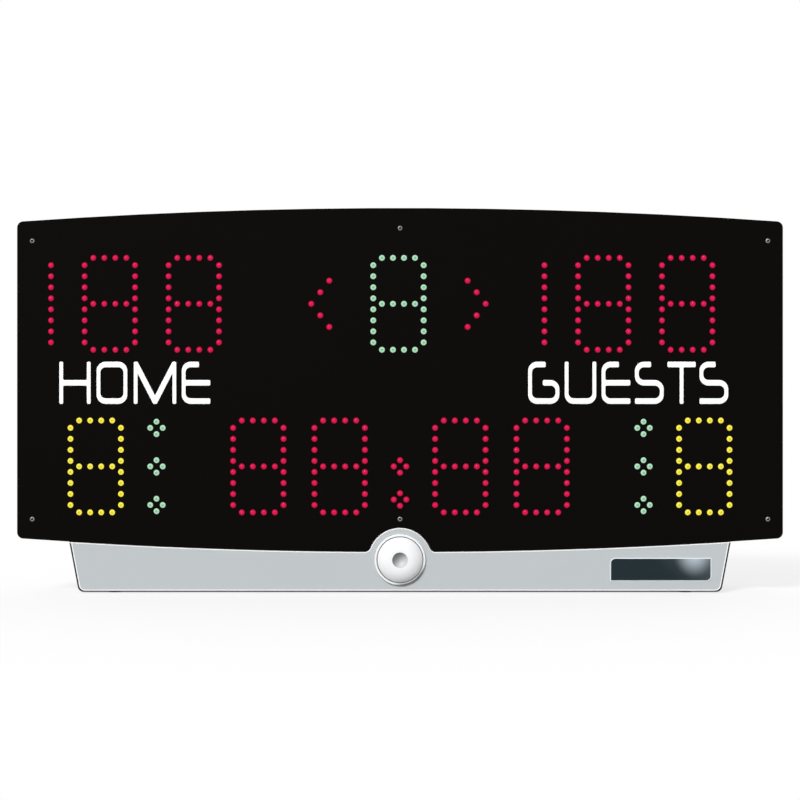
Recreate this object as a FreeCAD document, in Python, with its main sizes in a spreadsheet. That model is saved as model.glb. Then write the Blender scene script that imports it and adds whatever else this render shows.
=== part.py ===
import FreeCAD, Part
import math
import operator
import os
from types import SimpleNamespace

import Sketcher

# Portable scoreboard: an arched display head bolted to a low base that carries the horn.
# Sizes are millimetres. X runs to the right as seen from the front, Y to the rear, Z up.
# A depth is a distance behind the front face of the display panel.

V = FreeCAD.Vector
doc = FreeCAD.newDocument("scoreboard")

SIZES = {
    # display panel
    "panel_width": 1020,
    "panel_height": 458,
    "panel_rise": 54.8,
    "panel_thick": 3,
    "panel_corner": 8.5,
    "panel_bevel": 0.4,
    "arch_radius": 7125,
    "notch_radius": 42.7,
    "notch_fillet": 8.5,
    "horn_rise": 44.45,
    # panel screws and their clinch nuts
    "screw_side_inset": 20.2,
    "screw_edge_inset": 26.8,
    "notch_screw_gap": 11.4,
    "screw_head_radius": 3.5,
    "screw_head_height": 1.8,
    "screw_radius": 2,
    "screw_clearance": 0.15,
    "nut_radius": 4,
    "nut_height": 3,
    # case and rear cover
    "case_inset": 4,
    "case_depth": 65,
    "sheet_thick": 2,
    "window_margin": 4.5,
    "rear_flange": 18,
    "rear_screw_inset": 6,
    "rear_screw_side": 12,
    "rear_screw_length": 6,
    # lamps
    "led_pitch": 14.69,
    "lens_radius": 3.75,
    "lens_reach": 2,
    "lens_clearance": 0.15,
    "led_flange_radius": 4.3,
    "led_flange_height": 1.2,
    "digit_column_share": 2.287,
    "digit_row_share": 4.166,
    # rows of the digits and signs, from the panel screws
    "upper_row_gap": 83.8,
    "lower_row_gap": 70.05,
    # places of the digits and signs, as shares of half the panel
    "home_start_share": 0.9118,
    "guest_start_share": 0.3773,
    "hundreds_share": 0.1537,
    "tens_share": 0.2193,
    "arrow_share": 0.2278,
    "clock_inner_share": 0.1576,
    "clock_step_share": 0.2125,
    "timeout_share": 0.2661,
    "foul_share": 0.1588,
    "period_shift": -2.06,
    "arrow_step_across": 12,
    "arrow_step_up": 15.4,
    "diamond_reach": 8.3,
    "timeout_step": 51.35,
    "colon_drop": 44.1,
    # lamp boards
    "board_standoff": 6,
    "board_thick": 1.6,
    "board_side_margin": 12,
    "board_end_margin": 6,
    "spacer_radius": 2.5,
    "spacer_inset": 4,
    "spacer_rise_share": 3,
    "board_screw_radius": 1.5,
    "board_screw_head_radius": 2.6,
    "board_screw_head_height": 1.6,
    "board_screw_end_gap": 1,
    # base
    "base_width": 856.1,
    "base_depth": 150,
    "base_corner": 8,
    "base_bevel": 1.2,
    "side_angle": 10.72,
    "foot_height": 1.5,
    "foot_radius": 12,
    "foot_side_inset": 40,
    "foot_end_inset": 25,
    "joint_gap": 0.5,
    "seat_gap": 0.2,
    "step_gap": 0.3,
    # bolts that join case and base
    "bolt_side_inset": 98,
    "bolt_inner_reach": 120,
    "bolt_depth": 42,
    "bolt_radius": 3,
    "bolt_head_radius": 5.5,
    "bolt_head_height": 3.3,
    "bolt_seat_gap": 0.5,
    "bolt_nut_radius": 6,
    "bolt_nut_height": 5,
    # rear plate of the base
    "back_recess": 7,
    "lug_width": 14,
    "lug_height": 12,
    "lug_depth": 12,
    "lug_side_inset": 33,
    "lug_inner_reach": 40,
    "lug_upper_drop": 4,
    # battery door and battery
    "door_place": 225,
    "door_width": 170,
    "door_height": 36,
    "door_clearance": 0.6,
    "door_rise": 8,
    "door_axis_rise": 3,
    "hinge_radius": 3,
    "hinge_gap": 0.3,
    "hinge_pin_radius": 1.25,
    "hinge_play": 0.05,
    "hinge_web": 3,
    "knuckle_length": 24,
    "door_pull_width": 30,
    "door_pull_reach": 4.5,
    "door_pull_thick": 1.6,
    "battery_width": 150,
    "battery_depth": 65,
    "battery_height": 32,
    "battery_gap": 3,
    # horn
    "horn_reach": 12,
    "bezel_radius": 34.1,
    "bezel_thick": 3,
    "bezel_lip": 2.9,
    "bezel_round": 1.2,
    "sleeve_wall": 1.8,
    "sleeve_length": 18,
    "sleeve_clearance": 0.2,
    "shelf_width": 5,
    "shelf_thick": 2,
    "gasket_thick": 0.6,
    "cover_groove": 0.6,
    "cover_wall": 2.2,
    "cover_edge_reach": 1.5,
    "cover_seat": 12,
    "mouth_radius": 10.35,
    "mouth_depth": 5,
    "mouth_lip": 2,
    "ring_nut_width": 5,
    "ring_nut_height": 6,
    "driver_flange": 3,
    "driver_radius": 25,
    "driver_depth": 22,
    "magnet_radius": 17,
    "magnet_depth": 10,
    # nameplate
    "plate_side_inset": 80.85,
    "plate_rise": 31.4,
    "plate_width": 133,
    "plate_height": 28.9,
    "plate_thick": 0.8,
    "plate_round": 4,
    "plate_corner": 0.6,
    # folding carry handle
    "handle_drop": 28.8,
    "handle_standoff": 14,
    "handle_half": 75,
    "handle_length": 75,
    "handle_rod_radius": 4,
    "handle_bend": 9,
    "handle_corner": 14,
    "handle_stub": 18,
    "handle_play": 0.08,
    "grip_radius": 11,
    "grip_length": 100,
    "grip_round": 3,
    "ear_thick": 6,
    "ear_inset": 9,
    "ear_radius": 8,
    "bracket_thick": 3,
    "bracket_width": 34,
    "bracket_height": 40,
    "bracket_screw_spread": 13,
    "bracket_screw_side": 9,
    "handle_screw_radius": 2.5,
    "handle_screw_head_radius": 4,
    "handle_screw_head_height": 2.2,
    "handle_screw_length": 9,
    # threaded inserts for a wall bracket
    "mount_width": 200,
    "mount_height": 100,
    "mount_rise": 290,
    "mount_hole_radius": 3.25,
    "insert_radius": 4.6,
    "insert_length": 9,
    "insert_flange_radius": 6.5,
    "insert_flange": 1,
    # connectors on the rear cover
    "connector_rise": 135,
    "inlet_side_inset": 110,
    "inlet_flange_width": 50,
    "inlet_flange_height": 23,
    "inlet_flange": 3,
    "inlet_width": 28,
    "inlet_height": 20,
    "inlet_depth": 24,
    "inlet_wall": 1.7,
    "inlet_floor": 7,
    "inlet_pin_width": 2,
    "inlet_pin_height": 4,
    "inlet_pin_length": 12,
    "inlet_pin_spread": 7,
    "inlet_pin_rise": 2,
    "inlet_screw_spread": 20,
    "switch_step": 55,
    "switch_width": 21,
    "switch_height": 18,
    "switch_flange": 2,
    "switch_rim": 2,
    "switch_depth": 20,
    "switch_floor": 9,
    "rocker_width": 16,
    "rocker_half_height": 5.5,
    "rocker_hub": 3,
    "rocker_face": 4.5,
    "rocker_play": 0.4,
    "rocker_swing_room": 1.5,
    "rocker_pin_radius": 1.2,
    "rocker_pin_length": 19,
    "rocker_tilt": 12,
    "fuse_step": 40,
    "fuse_flange_radius": 8,
    "fuse_flange": 2.5,
    "fuse_body_radius": 6.4,
    "fuse_body_depth": 22,
    "fuse_bore_radius": 5.1,
    "fuse_floor": 3,
    "fuse_play": 0.1,
    "fuse_cap_radius": 6.8,
    "fuse_cap_height": 5,
    "fuse_cap_gap": 0.3,
    "fuse_cap_shank": 12,
    "fuse_slot_width": 1.6,
    "fuse_slot_depth": 1.5,
    "data_step": 43,
    "data_flange_width": 31,
    "data_flange_height": 12.5,
    "data_flange": 1.2,
    "data_width": 17,
    "data_height": 8.4,
    "data_reach": 5,
    "data_depth": 8,
    "data_screw_spread": 12.5,
    "cutout_clearance": 0.25,
    "small_screw_radius": 1.5,
    "small_screw_head_radius": 2.6,
    "small_screw_head_height": 1.6,
    "small_screw_length": 6,
    # electronics
    "supply_side_inset": 180,
    "supply_rise": 170,
    "supply_width": 180,
    "supply_height": 98,
    "supply_depth": 38,
    "controller_width": 180,
    "controller_height": 110,
    "controller_standoff": 5,
    "controller_inset": 5,
    # wiring
    "cable_radius": 2,
    "cable_bend": 5,
    "cable_gap": 0.2,
    "cable_run_depth": 24,
    "cable_spread": 60,
    "cable_row_rise": 30,
    "lead_row_drop": 38,
    "lead_spread": 30,
    "battery_lead_shift": 25,
    "battery_lead_depth": 42,
    "battery_lead_rise": 20,
    "supply_lead_depth": 49,
    "supply_lead_rise": 20,
    "supply_lead_run": 90,
    "cable_hole_radius": 5,
    # one length by which every cut runs past its piece
    "overrun": 1,
}

COLUMN_LAMPS = 8
BAR_LAMPS = 4

sheet = doc.addObject("Spreadsheet::Sheet", "sizes")
for row, (alias, value) in enumerate(SIZES.items(), start=1):
    sheet.set(f"A{row}", alias)
    sheet.set(f"B{row}", str(value))
    sheet.setAlias(f"B{row}", alias)
doc.recompute()


# Sizes that know their own expression

OPERATIONS = {"+": operator.add, "-": operator.sub, "*": operator.mul, "/": operator.truediv}


def as_size(value):
    return value if isinstance(value, Size) else Size(repr(value), float(value))


def combined(left, sign, right):
    left = as_size(left)
    right = as_size(right)
    return Size(f"({left.text} {sign} {right.text})", OPERATIONS[sign](left.value, right.value))


class Size:
    """A size of the sheet, or a sum of such sizes: the expression and the value it has now."""

    def __init__(self, text, value):
        self.text = text
        self.value = value

    def __float__(self):
        return self.value

    def __neg__(self):
        return combined(-1, "*", self)

    def __add__(self, other):
        return combined(self, "+", other)

    def __radd__(self, other):
        return combined(other, "+", self)

    def __sub__(self, other):
        return combined(self, "-", other)

    def __rsub__(self, other):
        return combined(other, "-", self)

    def __mul__(self, other):
        return combined(self, "*", other)

    def __rmul__(self, other):
        return combined(other, "*", self)

    def __truediv__(self, other):
        return combined(self, "/", other)


def root(size):
    return Size(f"sqrt({size.text})", math.sqrt(size.value))


def sine(angle):
    return Size(f"sin({angle.text})", math.sin(math.radians(angle.value)))


def cosine(angle):
    return Size(f"cos({angle.text})", math.cos(math.radians(angle.value)))


def tangent(angle):
    return Size(f"tan({angle.text})", math.tan(math.radians(angle.value)))


s = SimpleNamespace(**{alias: Size(f"sizes.{alias}", float(sheet.get(alias))) for alias in SIZES})

# Depths and heights that several pieces share
front_y = (s.horn_reach - s.base_depth) / 2
case_front = s.panel_thick
case_back = case_front + s.case_depth
cover_back = case_back + s.sheet_thick
board_front = s.panel_thick + s.board_standoff
board_back = board_front + s.board_thick
panel_side = s.panel_width / 2
base_half = s.base_width / 2
low_centre = s.panel_rise + s.arch_radius
high_centre = s.panel_rise + s.panel_height - s.arch_radius
box_front = s.panel_thick + s.step_gap
box_rise = s.case_inset - s.seat_gap
back_front = s.base_depth - s.back_recess - s.sheet_thick


def arch_low(across, inset):
    """Height of the panel's lower arch, moved inwards by the inset, at a distance across."""
    radius = s.arch_radius - inset
    return low_centre - root(radius * radius - across * across)


def arch_high(across, inset):
    radius = s.arch_radius - inset
    return high_centre + root(radius * radius - across * across)


# Helpers that bind objects to the sheet


def bind(item, name, size):
    item.setExpression(name, as_size(size).text)


def new_body(label):
    body = doc.addObject("PartDesign::Body", label)
    body.Label = label
    return body


def new_sketch(body, role, depth=0):
    """Attach a sketch to an origin plane, moved along the plane's positive axis by the depth."""
    sketch = body.newObject("Sketcher::SketchObject", f"{body.Name}_sketch")
    plane = next(item for item in body.Origin.OriginFeatures if item.Role == role)
    sketch.AttachmentSupport = (plane, "")
    sketch.MapMode = "FlatFace"
    shift = as_size(depth)
    bind(sketch, "AttachmentOffset.Base.z", -shift if role == "XZ_Plane" else shift)
    return sketch


def faces_front(sketch):
    return sketch.AttachmentSupport[0][0].Role == "XZ_Plane"


def lock(sketch, kind, *places, size):
    """Add one constraint with a value and bind it to its size."""
    number = sketch.addConstraint(Sketcher.Constraint(kind, *places, float(size)))
    bind(sketch, f"Constraints[{number}]", size)


def lock_point(sketch, geometry, end, across, up):
    """Hold one point of a sketch at a place; a plain zero puts it on the axis."""
    for kind, value, axis in (("DistanceX", across, -2), ("DistanceY", up, -1)):
        if isinstance(value, Size):
            lock(sketch, kind, -1, 1, geometry, end, size=value)
        else:
            sketch.addConstraint(Sketcher.Constraint("PointOnObject", geometry, end, axis))


def arc_between(first, last, centre):
    """The short arc about a centre, with a flag that says whether it runs backwards."""
    start = first - centre
    end = last - centre
    backwards = start.cross(end).z < 0
    if backwards:
        start, end = end, start
    circle = Part.Circle(centre, V(0, 0, 1), start.Length)
    angles = [math.atan2(arm.y, arm.x) for arm in (start, end)]
    return Part.ArcOfCircle(circle, *angles), backwards


def draw(sketch, vertices, closed=True):
    """Chain edges through the vertices; a third entry makes the edge that follows an arc about it."""
    points = [V(float(vertex[0]), float(vertex[1]), 0) for vertex in vertices]
    count = len(vertices) if closed else len(vertices) - 1
    ends = []
    for number in range(count):
        first = points[number]
        last = points[(number + 1) % len(points)]
        if len(vertices[number]) == 3:
            centre = V(*(float(value) for value in vertices[number][2]), 0)
            edge, backwards = arc_between(first, last, centre)
            geometry = sketch.addGeometry(edge)
            lock(sketch, "Radius", geometry, size=distance(vertices[number], vertices[number][2]))
            ends.append((geometry, 2, 1) if backwards else (geometry, 1, 2))
        else:
            ends.append((sketch.addGeometry(Part.LineSegment(first, last)), 1, 2))
    for number, (geometry, start, end) in enumerate(ends):
        lock_point(sketch, geometry, start, *vertices[number][:2])
        if closed or number + 1 < count:
            following = ends[(number + 1) % count]
            sketch.addConstraint(
                Sketcher.Constraint("Coincident", geometry, end, following[0], following[1])
            )
        else:
            lock_point(sketch, geometry, end, *vertices[-1][:2])


def distance(place, other):
    across = as_size(place[0]) - other[0]
    up = as_size(place[1]) - other[1]
    return root(across * across + up * up)


def draw_rectangle(sketch, left, right, low, high):
    draw(sketch, [(left, low), (right, low), (right, high), (left, high)])


def draw_circle(sketch, across, up, radius):
    circle = Part.Circle(V(float(across), float(up), 0), V(0, 0, 1), float(radius))
    geometry = sketch.addGeometry(circle)
    lock_point(sketch, geometry, 3, across, up)
    lock(sketch, "Radius", geometry, size=radius)


def pad(sketch, length):
    """Raise a sketch along the positive axis of its plane."""
    feature = sketch.getParentGeoFeatureGroup().newObject("PartDesign::Pad", f"{sketch.Name}_pad")
    feature.Profile = sketch
    feature.Reversed = faces_front(sketch)
    bind(feature, "Length", length)
    sketch.Visibility = False
    return feature


pockets = []


def pocket(sketch, length):
    """Sink a sketch along the positive axis of its plane."""
    body = sketch.getParentGeoFeatureGroup()
    feature = body.newObject("PartDesign::Pocket", f"{sketch.Name}_pocket")
    feature.Profile = sketch
    feature.Reversed = not faces_front(sketch)
    bind(feature, "Length", length)
    sketch.Visibility = False
    pockets.append(feature)
    return feature


def turn(body, vertices, role="YZ_Plane"):
    """Turn a closed profile of (place along the axis, radius) about the plane's first axis."""
    sketch = new_sketch(body, role)
    draw(sketch, vertices)
    feature = body.newObject("PartDesign::Revolution", f"{body.Name}_turn")
    feature.Profile = sketch
    feature.ReferenceAxis = (sketch, ["H_Axis"])
    sketch.Visibility = False
    return feature


def bevel_front(feature, depth, size):
    """Chamfer the edges of a feature that lie in front of a depth."""
    doc.recompute()
    names = [
        f"Edge{number}"
        for number, edge in enumerate(feature.Shape.Edges, start=1)
        if edge.BoundBox.YMax < float(depth)
    ]
    chamfer = feature.getParentGeoFeatureGroup().newObject("PartDesign::Chamfer", "bevel")
    chamfer.Base = (feature, names)
    bind(chamfer, "Size", size)


def block(label, left, right, front, back, low, high):
    """A box between six places."""
    item = doc.addObject("Part::Box", label)
    bind(item, "Length", right - left)
    bind(item, "Width", back - front)
    bind(item, "Height", high - low)
    for name, place in zip("xyz", (left, front, low)):
        bind(item, f"Placement.Base.{name}", place)
    return item


def block_at(label, across, up, width, height, front, back):
    """A box of a width and height about a centre, between two depths."""
    left = across - width / 2
    low = up - height / 2
    return block(label, left, left + width, front, back, low, low + height)


def rod(label, across, up, radius, front, back):
    """A cylinder along the depth."""
    item = doc.addObject("Part::Cylinder", label)
    bind(item, "Radius", radius)
    bind(item, "Height", back - front)
    item.Placement.Rotation = FreeCAD.Rotation(V(1, 0, 0), -90)
    for name, place in zip("xyz", (across, front, up)):
        bind(item, f"Placement.Base.{name}", place)
    return item


def cross_rod(label, left, right, depth, up, radius):
    """A cylinder from left to right."""
    item = doc.addObject("Part::Cylinder", label)
    bind(item, "Radius", radius)
    bind(item, "Height", right - left)
    item.Placement.Rotation = FreeCAD.Rotation(V(0, 1, 0), 90)
    for name, place in zip("xyz", (left, depth, up)):
        bind(item, f"Placement.Base.{name}", place)
    return item


def fused(label, items):
    item = doc.addObject("Part::MultiFuse", label)
    item.Shapes = items
    item.Label = label
    return item


def cut(label, base, tools):
    item = doc.addObject("Part::Cut", label)
    item.Base = base
    item.Tool = tools[0] if len(tools) == 1 else together(f"{label}_tools", tools)
    item.Label = label
    return item


def together(label, items):
    item = doc.addObject("Part::Compound", label)
    item.Links = items
    item.Label = label
    return item


def copies(label, master, places):
    """Copies of a finished shape, each moved to an (across, depth, up) place, as one group."""
    item = doc.addObject("Part::Feature", label)
    shape = master.Shape
    item.Shape = Part.makeCompound(
        [shape.translated(V(*(float(value) for value in place))) for place in places]
    )
    item.Label = label
    return item


def drills(label, radius, places, front, back):
    """Cylinders along the depth that cut a pattern of holes."""
    item = doc.addObject("Part::Feature", label)
    length = float(back) - float(front)
    item.Shape = Part.makeCompound(
        [
            Part.makeCylinder(float(radius), length, V(float(across), float(front), float(up)), V(0, 1, 0))
            for across, up in places
        ]
    )
    return item


nodes = []


def node(item):
    """Make an object a sub-part: it is moved from the panel's front face to the origin's depth."""
    bind(item, "Placement.Base.y", front_y)
    nodes.append(item)


def mirrored(places):
    return [(side * across, up) for side in (-1, 1) for across, up in places]


# Outlines


def notch_fillet_arms():
    """Arms from the horn's axis to the centre of a notch fillet, across and up."""
    reach = s.notch_radius + s.notch_fillet
    inner = s.arch_radius - s.notch_fillet
    drop = low_centre - s.horn_rise
    up = (reach * reach - inner * inner + drop * drop) / (2 * drop)
    return root(reach * reach - up * up), up


def notch_vertices(inset):
    """Fillet, round notch and fillet, from the left arch to the right one."""
    across, up = notch_fillet_arms()
    notch_share = (s.notch_radius + inset) / (s.notch_radius + s.notch_fillet)
    arch_share = (s.arch_radius - inset) / (s.arch_radius - s.notch_fillet)
    centre_up = s.horn_rise + up
    arch_up = low_centre - (low_centre - centre_up) * arch_share
    notch_up = s.horn_rise + up * notch_share
    return [
        (-(across * arch_share), arch_up, (-across, centre_up)),
        (-(across * notch_share), notch_up, (0, s.horn_rise)),
        (across * notch_share, notch_up, (across, centre_up)),
        (across * arch_share, arch_up),
    ]


def panel_outline(inset):
    """The arched outline of the display head, moved inwards by the inset."""
    across = panel_side - s.panel_corner
    reach = s.arch_radius - s.panel_corner
    arm = root(reach * reach - across * across)
    share = (s.arch_radius - inset) / reach
    side = panel_side - inset
    low = low_centre - arm
    high = high_centre + arm
    low_end = low_centre - arm * share
    high_end = high_centre + arm * share
    notch = notch_vertices(inset)
    return notch[:3] + [
        (*notch[3], (0, low_centre)),
        (across * share, low_end, (across, low)),
        (side, low),
        (side, high, (across, high)),
        (across * share, high_end, (0, high_centre)),
        (-(across * share), high_end, (-across, high)),
        (-side, high),
        (-side, low, (-across, low)),
        (-(across * share), low_end, (0, low_centre)),
    ]


base_corner_across = base_half - s.base_corner / tangent((90 + s.side_angle) / 2)
base_corner_up = s.foot_height + s.base_corner


def base_side(inset):
    """Foot of the base's sloping right side, above its rounded corner."""
    radius = s.base_corner - inset
    across = base_corner_across + radius * cosine(s.side_angle)
    return across, base_corner_up - radius * sine(s.side_angle)


def base_side_top(inset, rise):
    """Where the sloping side meets the arch, found along the slope from its foot."""
    across, up = base_side(inset)
    radius = s.arch_radius - rise
    below = low_centre - up
    along = across * sine(s.side_angle) - below * cosine(s.side_angle)
    travel = -along - root(along * along - across * across - below * below + radius * radius)
    return across + travel * sine(s.side_angle), up + travel * cosine(s.side_angle)


def base_outline(inset, rise, saddle):
    """The base from the front: flared sides under the arch, with or without the horn's saddle."""
    corner = (base_corner_across, base_corner_up)
    left_corner = (-base_corner_across, base_corner_up)
    side = base_side(inset)
    top = base_side_top(inset, rise)
    floor = s.foot_height + inset
    arch = (0, low_centre)
    middle = []
    if saddle:
        left_end, left_notch, right_notch, right_end = notch_vertices(rise)
        middle = [
            (*right_end, right_notch[2]),
            (*right_notch[:2], (0, s.horn_rise)),
            (*left_notch[:2], left_end[2]),
            (*left_end[:2], arch),
        ]
    return [
        (-base_corner_across, floor),
        (base_corner_across, floor, corner),
        side,
        (*top, arch),
        *middle,
        (-top[0], top[1]),
        (-side[0], side[1], left_corner),
    ]


# Screws


def dome_screw(label, head_radius, head_height, radius, length):
    """A domed screw along the depth, its head in front of the zero plane."""
    sphere = (head_radius * head_radius + head_height * head_height) / (2 * head_height)
    body = new_body(label)
    turn(
        body,
        [
            (-head_height, 0, (sphere - head_height, 0)),
            (0, head_radius),
            (0, radius),
            (length, radius),
            (length, 0),
        ],
    )
    return body


def ring_nut(label, radius, bore, length):
    body = new_body(label)
    turn(body, [(0, bore), (0, radius), (length, radius), (length, bore)])
    return body


# Places of the panel screws
screw_across = panel_side - s.screw_side_inset
screw_high = arch_high(screw_across, s.screw_edge_inset)
screw_low = arch_low(screw_across, s.screw_edge_inset)
screw_middle = arch_high(as_size(0), s.screw_edge_inset)
screw_notch = s.horn_rise + s.notch_radius + s.notch_screw_gap
panel_screw_places = mirrored([(screw_across, screw_high), (screw_across, screw_low)]) + [
    (0, screw_middle),
    (0, screw_notch),
]

# Places of the lamps

upper_row = screw_high - s.upper_row_gap
lower_row = screw_notch + s.lower_row_gap
digit_side = s.led_pitch * s.digit_column_share
digit_end = s.led_pitch * s.digit_row_share


def steps(count):
    """Places of a row of lamps about its middle, in pitches."""
    return [number - (count - 1) / 2 for number in range(count)]


def strip(across, up):
    return [(across, up + s.led_pitch * step) for step in steps(COLUMN_LAMPS)]


def digit(across, up):
    sides = strip(across - digit_side, up) + strip(across + digit_side, up)
    bars = [
        (across + s.led_pitch * step, up + digit_end * level)
        for level in (-1, 0, 1)
        for step in steps(BAR_LAMPS)
    ]
    return sides + bars


def diamond(across, up):
    arm = s.diamond_reach
    return [(across - arm, up), (across + arm, up), (across, up - arm), (across, up + arm)]


def arrow(side):
    """A chevron of five lamps that points to the left (-1) or right (1)."""
    return [
        (
            s.period_shift + side * (arrow_reach - s.arrow_step_across * abs(step)),
            upper_row + s.arrow_step_up * step,
        )
        for step in (-2, -1, 0, 1, 2)
    ]


home_hundreds = -panel_side * s.home_start_share
home_tens = home_hundreds + panel_side * s.hundreds_share
home_units = home_tens + panel_side * s.tens_share
guest_hundreds = panel_side * s.guest_start_share
guest_tens = guest_hundreds + panel_side * s.hundreds_share
guest_units = guest_tens + panel_side * s.tens_share
arrow_reach = panel_side * s.arrow_share
clock_inner = panel_side * s.clock_inner_share
clock_outer = clock_inner + panel_side * s.clock_step_share
timeout_place = clock_outer + panel_side * s.timeout_share
foul_place = timeout_place + panel_side * s.foul_share


def timeouts(across):
    return [
        place for level in (-1, 0, 1) for place in diamond(across, lower_row + s.timeout_step * level)
    ]


LAMPS = {
    "home_hundreds_leds": strip(home_hundreds, upper_row),
    "home_tens_leds": digit(home_tens, upper_row),
    "home_units_leds": digit(home_units, upper_row),
    "arrow_leds": arrow(-1) + arrow(1),
    "period_leds": digit(s.period_shift, upper_row),
    "guest_hundreds_leds": strip(guest_hundreds, upper_row),
    "guest_tens_leds": digit(guest_tens, upper_row),
    "guest_units_leds": digit(guest_units, upper_row),
    "home_foul_leds": digit(-foul_place, lower_row),
    "home_timeout_leds": timeouts(-timeout_place),
    "clock_minutes_leds": digit(-clock_outer, lower_row) + digit(-clock_inner, lower_row),
    "colon_leds": diamond(0, lower_row) + diamond(0, lower_row - s.colon_drop),
    "clock_seconds_leds": digit(clock_inner, lower_row) + digit(clock_outer, lower_row),
    "guest_timeout_leds": timeouts(timeout_place),
    "guest_foul_leds": digit(foul_place, lower_row),
}

# Each lamp board: its outermost lamps to the left and right, and its row
BOARDS = {
    "home_score_board": (home_hundreds, home_units + digit_side, upper_row),
    "period_board": (s.period_shift - arrow_reach, s.period_shift + arrow_reach, upper_row),
    "guest_score_board": (guest_hundreds, guest_units + digit_side, upper_row),
    "home_foul_board": (-foul_place - digit_side, -timeout_place + s.diamond_reach, lower_row),
    "clock_board": (-clock_outer - digit_side, clock_outer + digit_side, lower_row),
    "guest_foul_board": (timeout_place - s.diamond_reach, foul_place + digit_side, lower_row),
}

# Lamps: a flange on the board and a domed lens that looks out through the panel

lens_front = s.lens_radius - s.lens_reach
lamp = new_body("lamp")
turn(
    lamp,
    [
        (-s.lens_reach, 0, (lens_front, 0)),
        (lens_front, s.lens_radius),
        (board_front - s.led_flange_height, s.lens_radius),
        (board_front - s.led_flange_height, s.led_flange_radius),
        (board_front, s.led_flange_radius),
        (board_front, 0),
    ],
)
panel_screw = dome_screw(
    "panel_screw",
    s.screw_head_radius,
    s.screw_head_height,
    s.screw_radius,
    s.panel_thick + s.sheet_thick + s.nut_height,
)
panel_nut = ring_nut("panel_nut", s.nut_radius, s.screw_radius + s.screw_clearance, s.nut_height)
rear_screw = dome_screw(
    "rear_screw", s.screw_head_radius, s.screw_head_height, s.screw_radius, s.rear_screw_length
)
board_screw = dome_screw(
    "board_screw",
    s.board_screw_head_radius,
    s.board_screw_head_height,
    s.board_screw_radius,
    s.board_thick + s.board_standoff - s.board_screw_end_gap,
)
board_spacer = ring_nut(
    "board_spacer", s.spacer_radius, s.board_screw_radius + s.screw_clearance, s.board_standoff
)
handle_screw = dome_screw(
    "handle_screw",
    s.handle_screw_head_radius,
    s.handle_screw_head_height,
    s.handle_screw_radius,
    s.handle_screw_length,
)
small_screw = dome_screw(
    "small_screw",
    s.small_screw_head_radius,
    s.small_screw_head_height,
    s.small_screw_radius,
    s.small_screw_length,
)
doc.recompute()


def turned_round(label, master):
    """The same screw with its head to the rear."""
    item = doc.addObject("Part::Feature", label)
    shape = master.Shape.copy()
    shape.rotate(V(0, 0, 0), V(0, 0, 1), 180)
    item.Shape = shape
    return item


rear_facing_screw = turned_round("rear_facing_screw", rear_screw)
rear_facing_board_screw = turned_round("rear_facing_board_screw", board_screw)
rear_facing_handle_screw = turned_round("rear_facing_handle_screw", handle_screw)
rear_facing_small_screw = turned_round("rear_facing_small_screw", small_screw)


def at_depth(places, depth):
    return [(across, depth, up) for across, up in places]


# Front panel

panel_blank = new_body("front_panel_blank")
panel_sketch = new_sketch(panel_blank, "XZ_Plane")
draw(panel_sketch, panel_outline(as_size(0)))
bevel_front(pad(panel_sketch, s.panel_thick), s.panel_thick / 2, s.panel_bevel)
lamp_places = [place for places in LAMPS.values() for place in places]
panel_holes = [
    drills(
        "lamp_holes",
        s.lens_radius + s.lens_clearance,
        lamp_places,
        -s.overrun,
        s.panel_thick + s.overrun,
    ),
    drills(
        "panel_screw_holes",
        s.screw_radius + s.screw_clearance,
        panel_screw_places,
        -s.overrun,
        s.panel_thick + s.overrun,
    ),
]
node(cut("front_panel", panel_blank, panel_holes))
node(copies("panel_screws", panel_screw, at_depth(panel_screw_places, 0)))
nut_depth = s.panel_thick + s.sheet_thick
node(copies("panel_nuts", panel_nut, at_depth(panel_screw_places, nut_depth)))

for name, places in LAMPS.items():
    node(copies(name, lamp, at_depth(places, 0)))

# Case: a band of sheet with a flange at the front and one at the rear

case_blank = new_body("case_blank")
case_outer = new_sketch(case_blank, "XZ_Plane", case_front)
draw(case_outer, panel_outline(s.case_inset))
pad(case_outer, s.case_depth)
case_inner = new_sketch(case_blank, "XZ_Plane", case_front + s.sheet_thick)
draw(case_inner, panel_outline(s.case_inset + s.sheet_thick))
pocket(case_inner, s.case_depth - 2 * s.sheet_thick)

window_side = screw_across - s.window_margin
case_window = new_sketch(case_blank, "XZ_Plane", case_front - s.overrun)
draw_rectangle(
    case_window, -window_side, window_side, screw_notch + s.window_margin, screw_high - s.window_margin
)
pocket(case_window, s.sheet_thick + 2 * s.overrun)

rear_side = panel_side - s.case_inset - s.rear_flange
rear_high = arch_high(rear_side, s.case_inset + s.rear_flange)
rear_low = s.horn_rise + s.notch_radius + s.case_inset + s.rear_screw_inset
rear_window = new_sketch(case_blank, "XZ_Plane", case_back - s.sheet_thick - s.overrun)
draw_rectangle(rear_window, -rear_side, rear_side, rear_low, rear_high)
pocket(rear_window, s.sheet_thick + 2 * s.overrun)

rear_screw_across = rear_side - s.rear_screw_side
rear_screw_places = (
    mirrored([(rear_screw_across, rear_high + s.rear_screw_inset)])
    + mirrored([(rear_screw_across / 2, rear_high + s.rear_screw_inset)])
    + mirrored([(rear_screw_across, rear_low - s.rear_screw_inset)])
    + mirrored([(rear_screw_across / 2, rear_low - s.rear_screw_inset)])
    + [(0, rear_high + s.rear_screw_inset)]
)

# Places of the handle's pivot and of its bracket screws
pivot_up = arch_high(as_size(0), s.handle_drop)
pivot_depth = cover_back + s.handle_standoff
ear_outer = s.handle_half - s.ear_inset
bracket_screw_across = ear_outer + s.bracket_screw_side
handle_screw_places = [
    (side * bracket_screw_across, pivot_up + level * s.bracket_screw_spread)
    for side in (-1, 1)
    for level in (-1, 1)
]

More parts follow.
